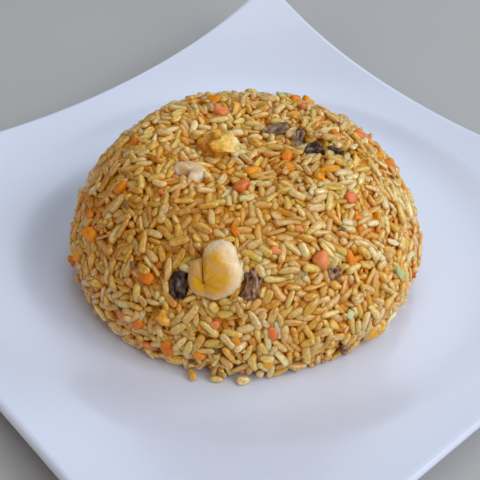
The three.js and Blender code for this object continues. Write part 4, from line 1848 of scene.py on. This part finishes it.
# ------------------------------------------------------------ the plate of food
# Outlines of the curled shrimps: degrees round the eye of the curl and millimetres out to the back, head first.
FRONT_CURL = (
    (104, 14.2), (76, 17.6), (64, 18.3), (42, 16.1), (18, 15.0),
    (-2, 13.2), (-22, 10.9), (-40, 9.2), (-65, 7.2), (-90, 6.3),
    (-133, 6.4), (-180, 6.8), (-210, 8.2), (-240, 9.6), (-263, 9.2),
)
CROWN_CURL = ((-150, 7.8), (-219, 8.3), (-287, 7.5), (-356, 5.8), (-425, 4.7))
FOOT_CURL = ((-30, 9.4), (-88, 8.7), (-145, 6.9), (-203, 5.2), (-260, 4.5))
SHRIMPS = (
    dict(
        node="shrimp_front",
        outline=FRONT_CURL,
        thickness=5.2 * MM,
        segments=6,
        bearing=-55.5,
        reach=73.5 * MM,
        sink=1.6 * MM,
        tip=4.0,
    ),
    dict(
        node="shrimp_crown",
        outline=CROWN_CURL,
        thickness=3.6 * MM,
        segments=5,
        bearing=-92.0,
        reach=30.0 * MM,
        sink=2.2 * MM,
        turn=10.0,
        tip=-4.0,
        pale_back_and_highlight=1.3,
    ),
    dict(
        node="shrimp_foot",
        outline=FOOT_CURL,
        thickness=4.2 * MM,
        segments=4,
        bearing=1.0,
        reach=108.0 * MM,
        sink=2.6 * MM,
        turn=20.0,
    ),
)
EGGS = (
    dict(node="egg_crown", pale_side=(0.55, 0.75, 0.35), gold=0.3, room=0.95, clear=1.6 * MM),
    dict(node="egg_shoulder", pale_side=(0.75, -0.6, 0.3), gold=0.3),
    dict(node="egg_front", pale_side=(0.6, 0.8, 0.2), gold=0.42),
)

class FriedRicePlate:
    """The dish, the rice and everything in it."""

    def __init__(self) -> None:
        """Lay out every sub-assembly."""
        self.mould = Mould()
        self.dish = Dish()
        self.shrimps = [Shrimp(self.mould, **sizes) for sizes in SHRIMPS]
        self.eggs = [Lump(slot="egg", relief=EGG_RELIEF, **given) for given in EGGS]
        beef = sorted(name for name in frame["nodes"] if name.startswith("beef"))
        self.beef = [
            Lump(
                name, "beef", MEAT_RELIEF, room=1.0, clear=2.6 * MM
            ) for name in beef if "slice" not in name
        ]
        self.slices = [
            Lump(name, "beef", MEAT_RELIEF, room=0.85, clear=1.4 * MM) for name in beef if "slice" in name
        ]
        self.carrots = Cuttings(self.mould, "carrot_dice", 78)
        self.reddish = Cuttings(self.mould, "carrot_dice_reddish", 22, seed=12)
        self.flakes = Cuttings(
            self.mould, "egg_flakes", 22, (4.0, 7.0), thickness=0.5, squareness=2.6, roughness=0.3, seed=13
        )
        self.crumbs = Cuttings(
            self.mould, "meat_crumbs", 24, (1.8, 4.6), squareness=2.2, roughness=0.55, sink=0.4, seed=14
        )
        self.greens = Cuttings(self.mould, "spring_onion_bits", 4, (3.0, 8.0), thickness=0.4, seed=15)
        self.core = RiceCore(self.mould)
        self.bed = RiceBed(self.mould)

    def build(self) -> None:
        """Pack the rice round the toppings, then build and dress every piece."""
        effects = SharedEffects()
        self.dish.dress(GlazeFinish().build(effects))
        golden = ShrimpFinish().build(effects)
        # The crown shrimp's paler copy; its back colour too is partly a painted highlight.
        pale = ShrimpFinish(
            name="shrimp_flesh_pale", cream=(
                0.70, 0.56, 0.40
            ), gold=(0.68, 0.46, 0.22), back=(0.78, 0.72, 0.66)
        ).build(effects)
        for shrimp in self.shrimps:
            shrimp.dress(pale if shrimp.node == "shrimp_crown" else golden)
        egg_finish = EggFinish().build(effects)
        for egg in self.eggs:
            egg.dress(egg_finish)
        browned = BeefFinish().build(effects)
        # A darker copy of the beef finish: painted shade for the pieces on the left and at the crown.
        shaded_beef = BeefFinish(
            name="beef_painted_shade", dark=(
                0.006, 0.003, 0.003
            ), brown=(0.09, 0.04, 0.025), grey=(0.30, 0.21, 0.20)
        ).build(effects)
        for piece in self.beef:
            piece.dress(shaded_beef if "left" in piece.node or "crown" in piece.node else browned)
        slice_finish = BeefFinish(
            name="beef_cut_face", dark=(
                0.11, 0.06, 0.035
            ), brown=(0.32, 0.20, 0.12), grey=(0.50, 0.37, 0.28)
        ).build(effects)
        for piece in self.slices:
            piece.dress(slice_finish)
        small = {
            DiceFinish(name="carrot"): self.carrots,
            DiceFinish(
                name="carrot_reddish", deep=(0.70, 0.15, 0.025), pale=(0.84, 0.36, 0.13)
            ): self.reddish,
            DiceFinish(name="egg_flake", deep=(0.76, 0.36, 0.012), pale=(0.86, 0.66, 0.30)): self.flakes,
            DiceFinish(
                name="meat_crumb", dry=0.75, wet=0.5, deep=(0.13, 0.05, 0.012), pale=(0.36, 0.22, 0.12)
            ): self.crumbs,
            DiceFinish(name="spring_onion", deep=(0.40, 0.42, 0.12), pale=(0.74, 0.76, 0.52)): self.greens,
        }
        for finish, cuttings in small.items():
            cuttings.dress(finish.build(effects), "rice")
        toppings = (*self.shrimps, *self.eggs, *self.beef, *self.slices, *small.values())
        self.bed.pack([part.capsules() for part in toppings])
        self.bed.dress(effects)
        self.core.dress(CoreFinish().build(effects))


def main() -> None:
    """Build the studio and the plate."""
    logging.basicConfig(level=logging.INFO, format="%(name)s: %(message)s")
    plate = FriedRicePlate()
    Studio().set_up(plate.dish.well)
    plate.build()
    bpy.context.view_layer.update()


if __name__ == "__main__":
    main()
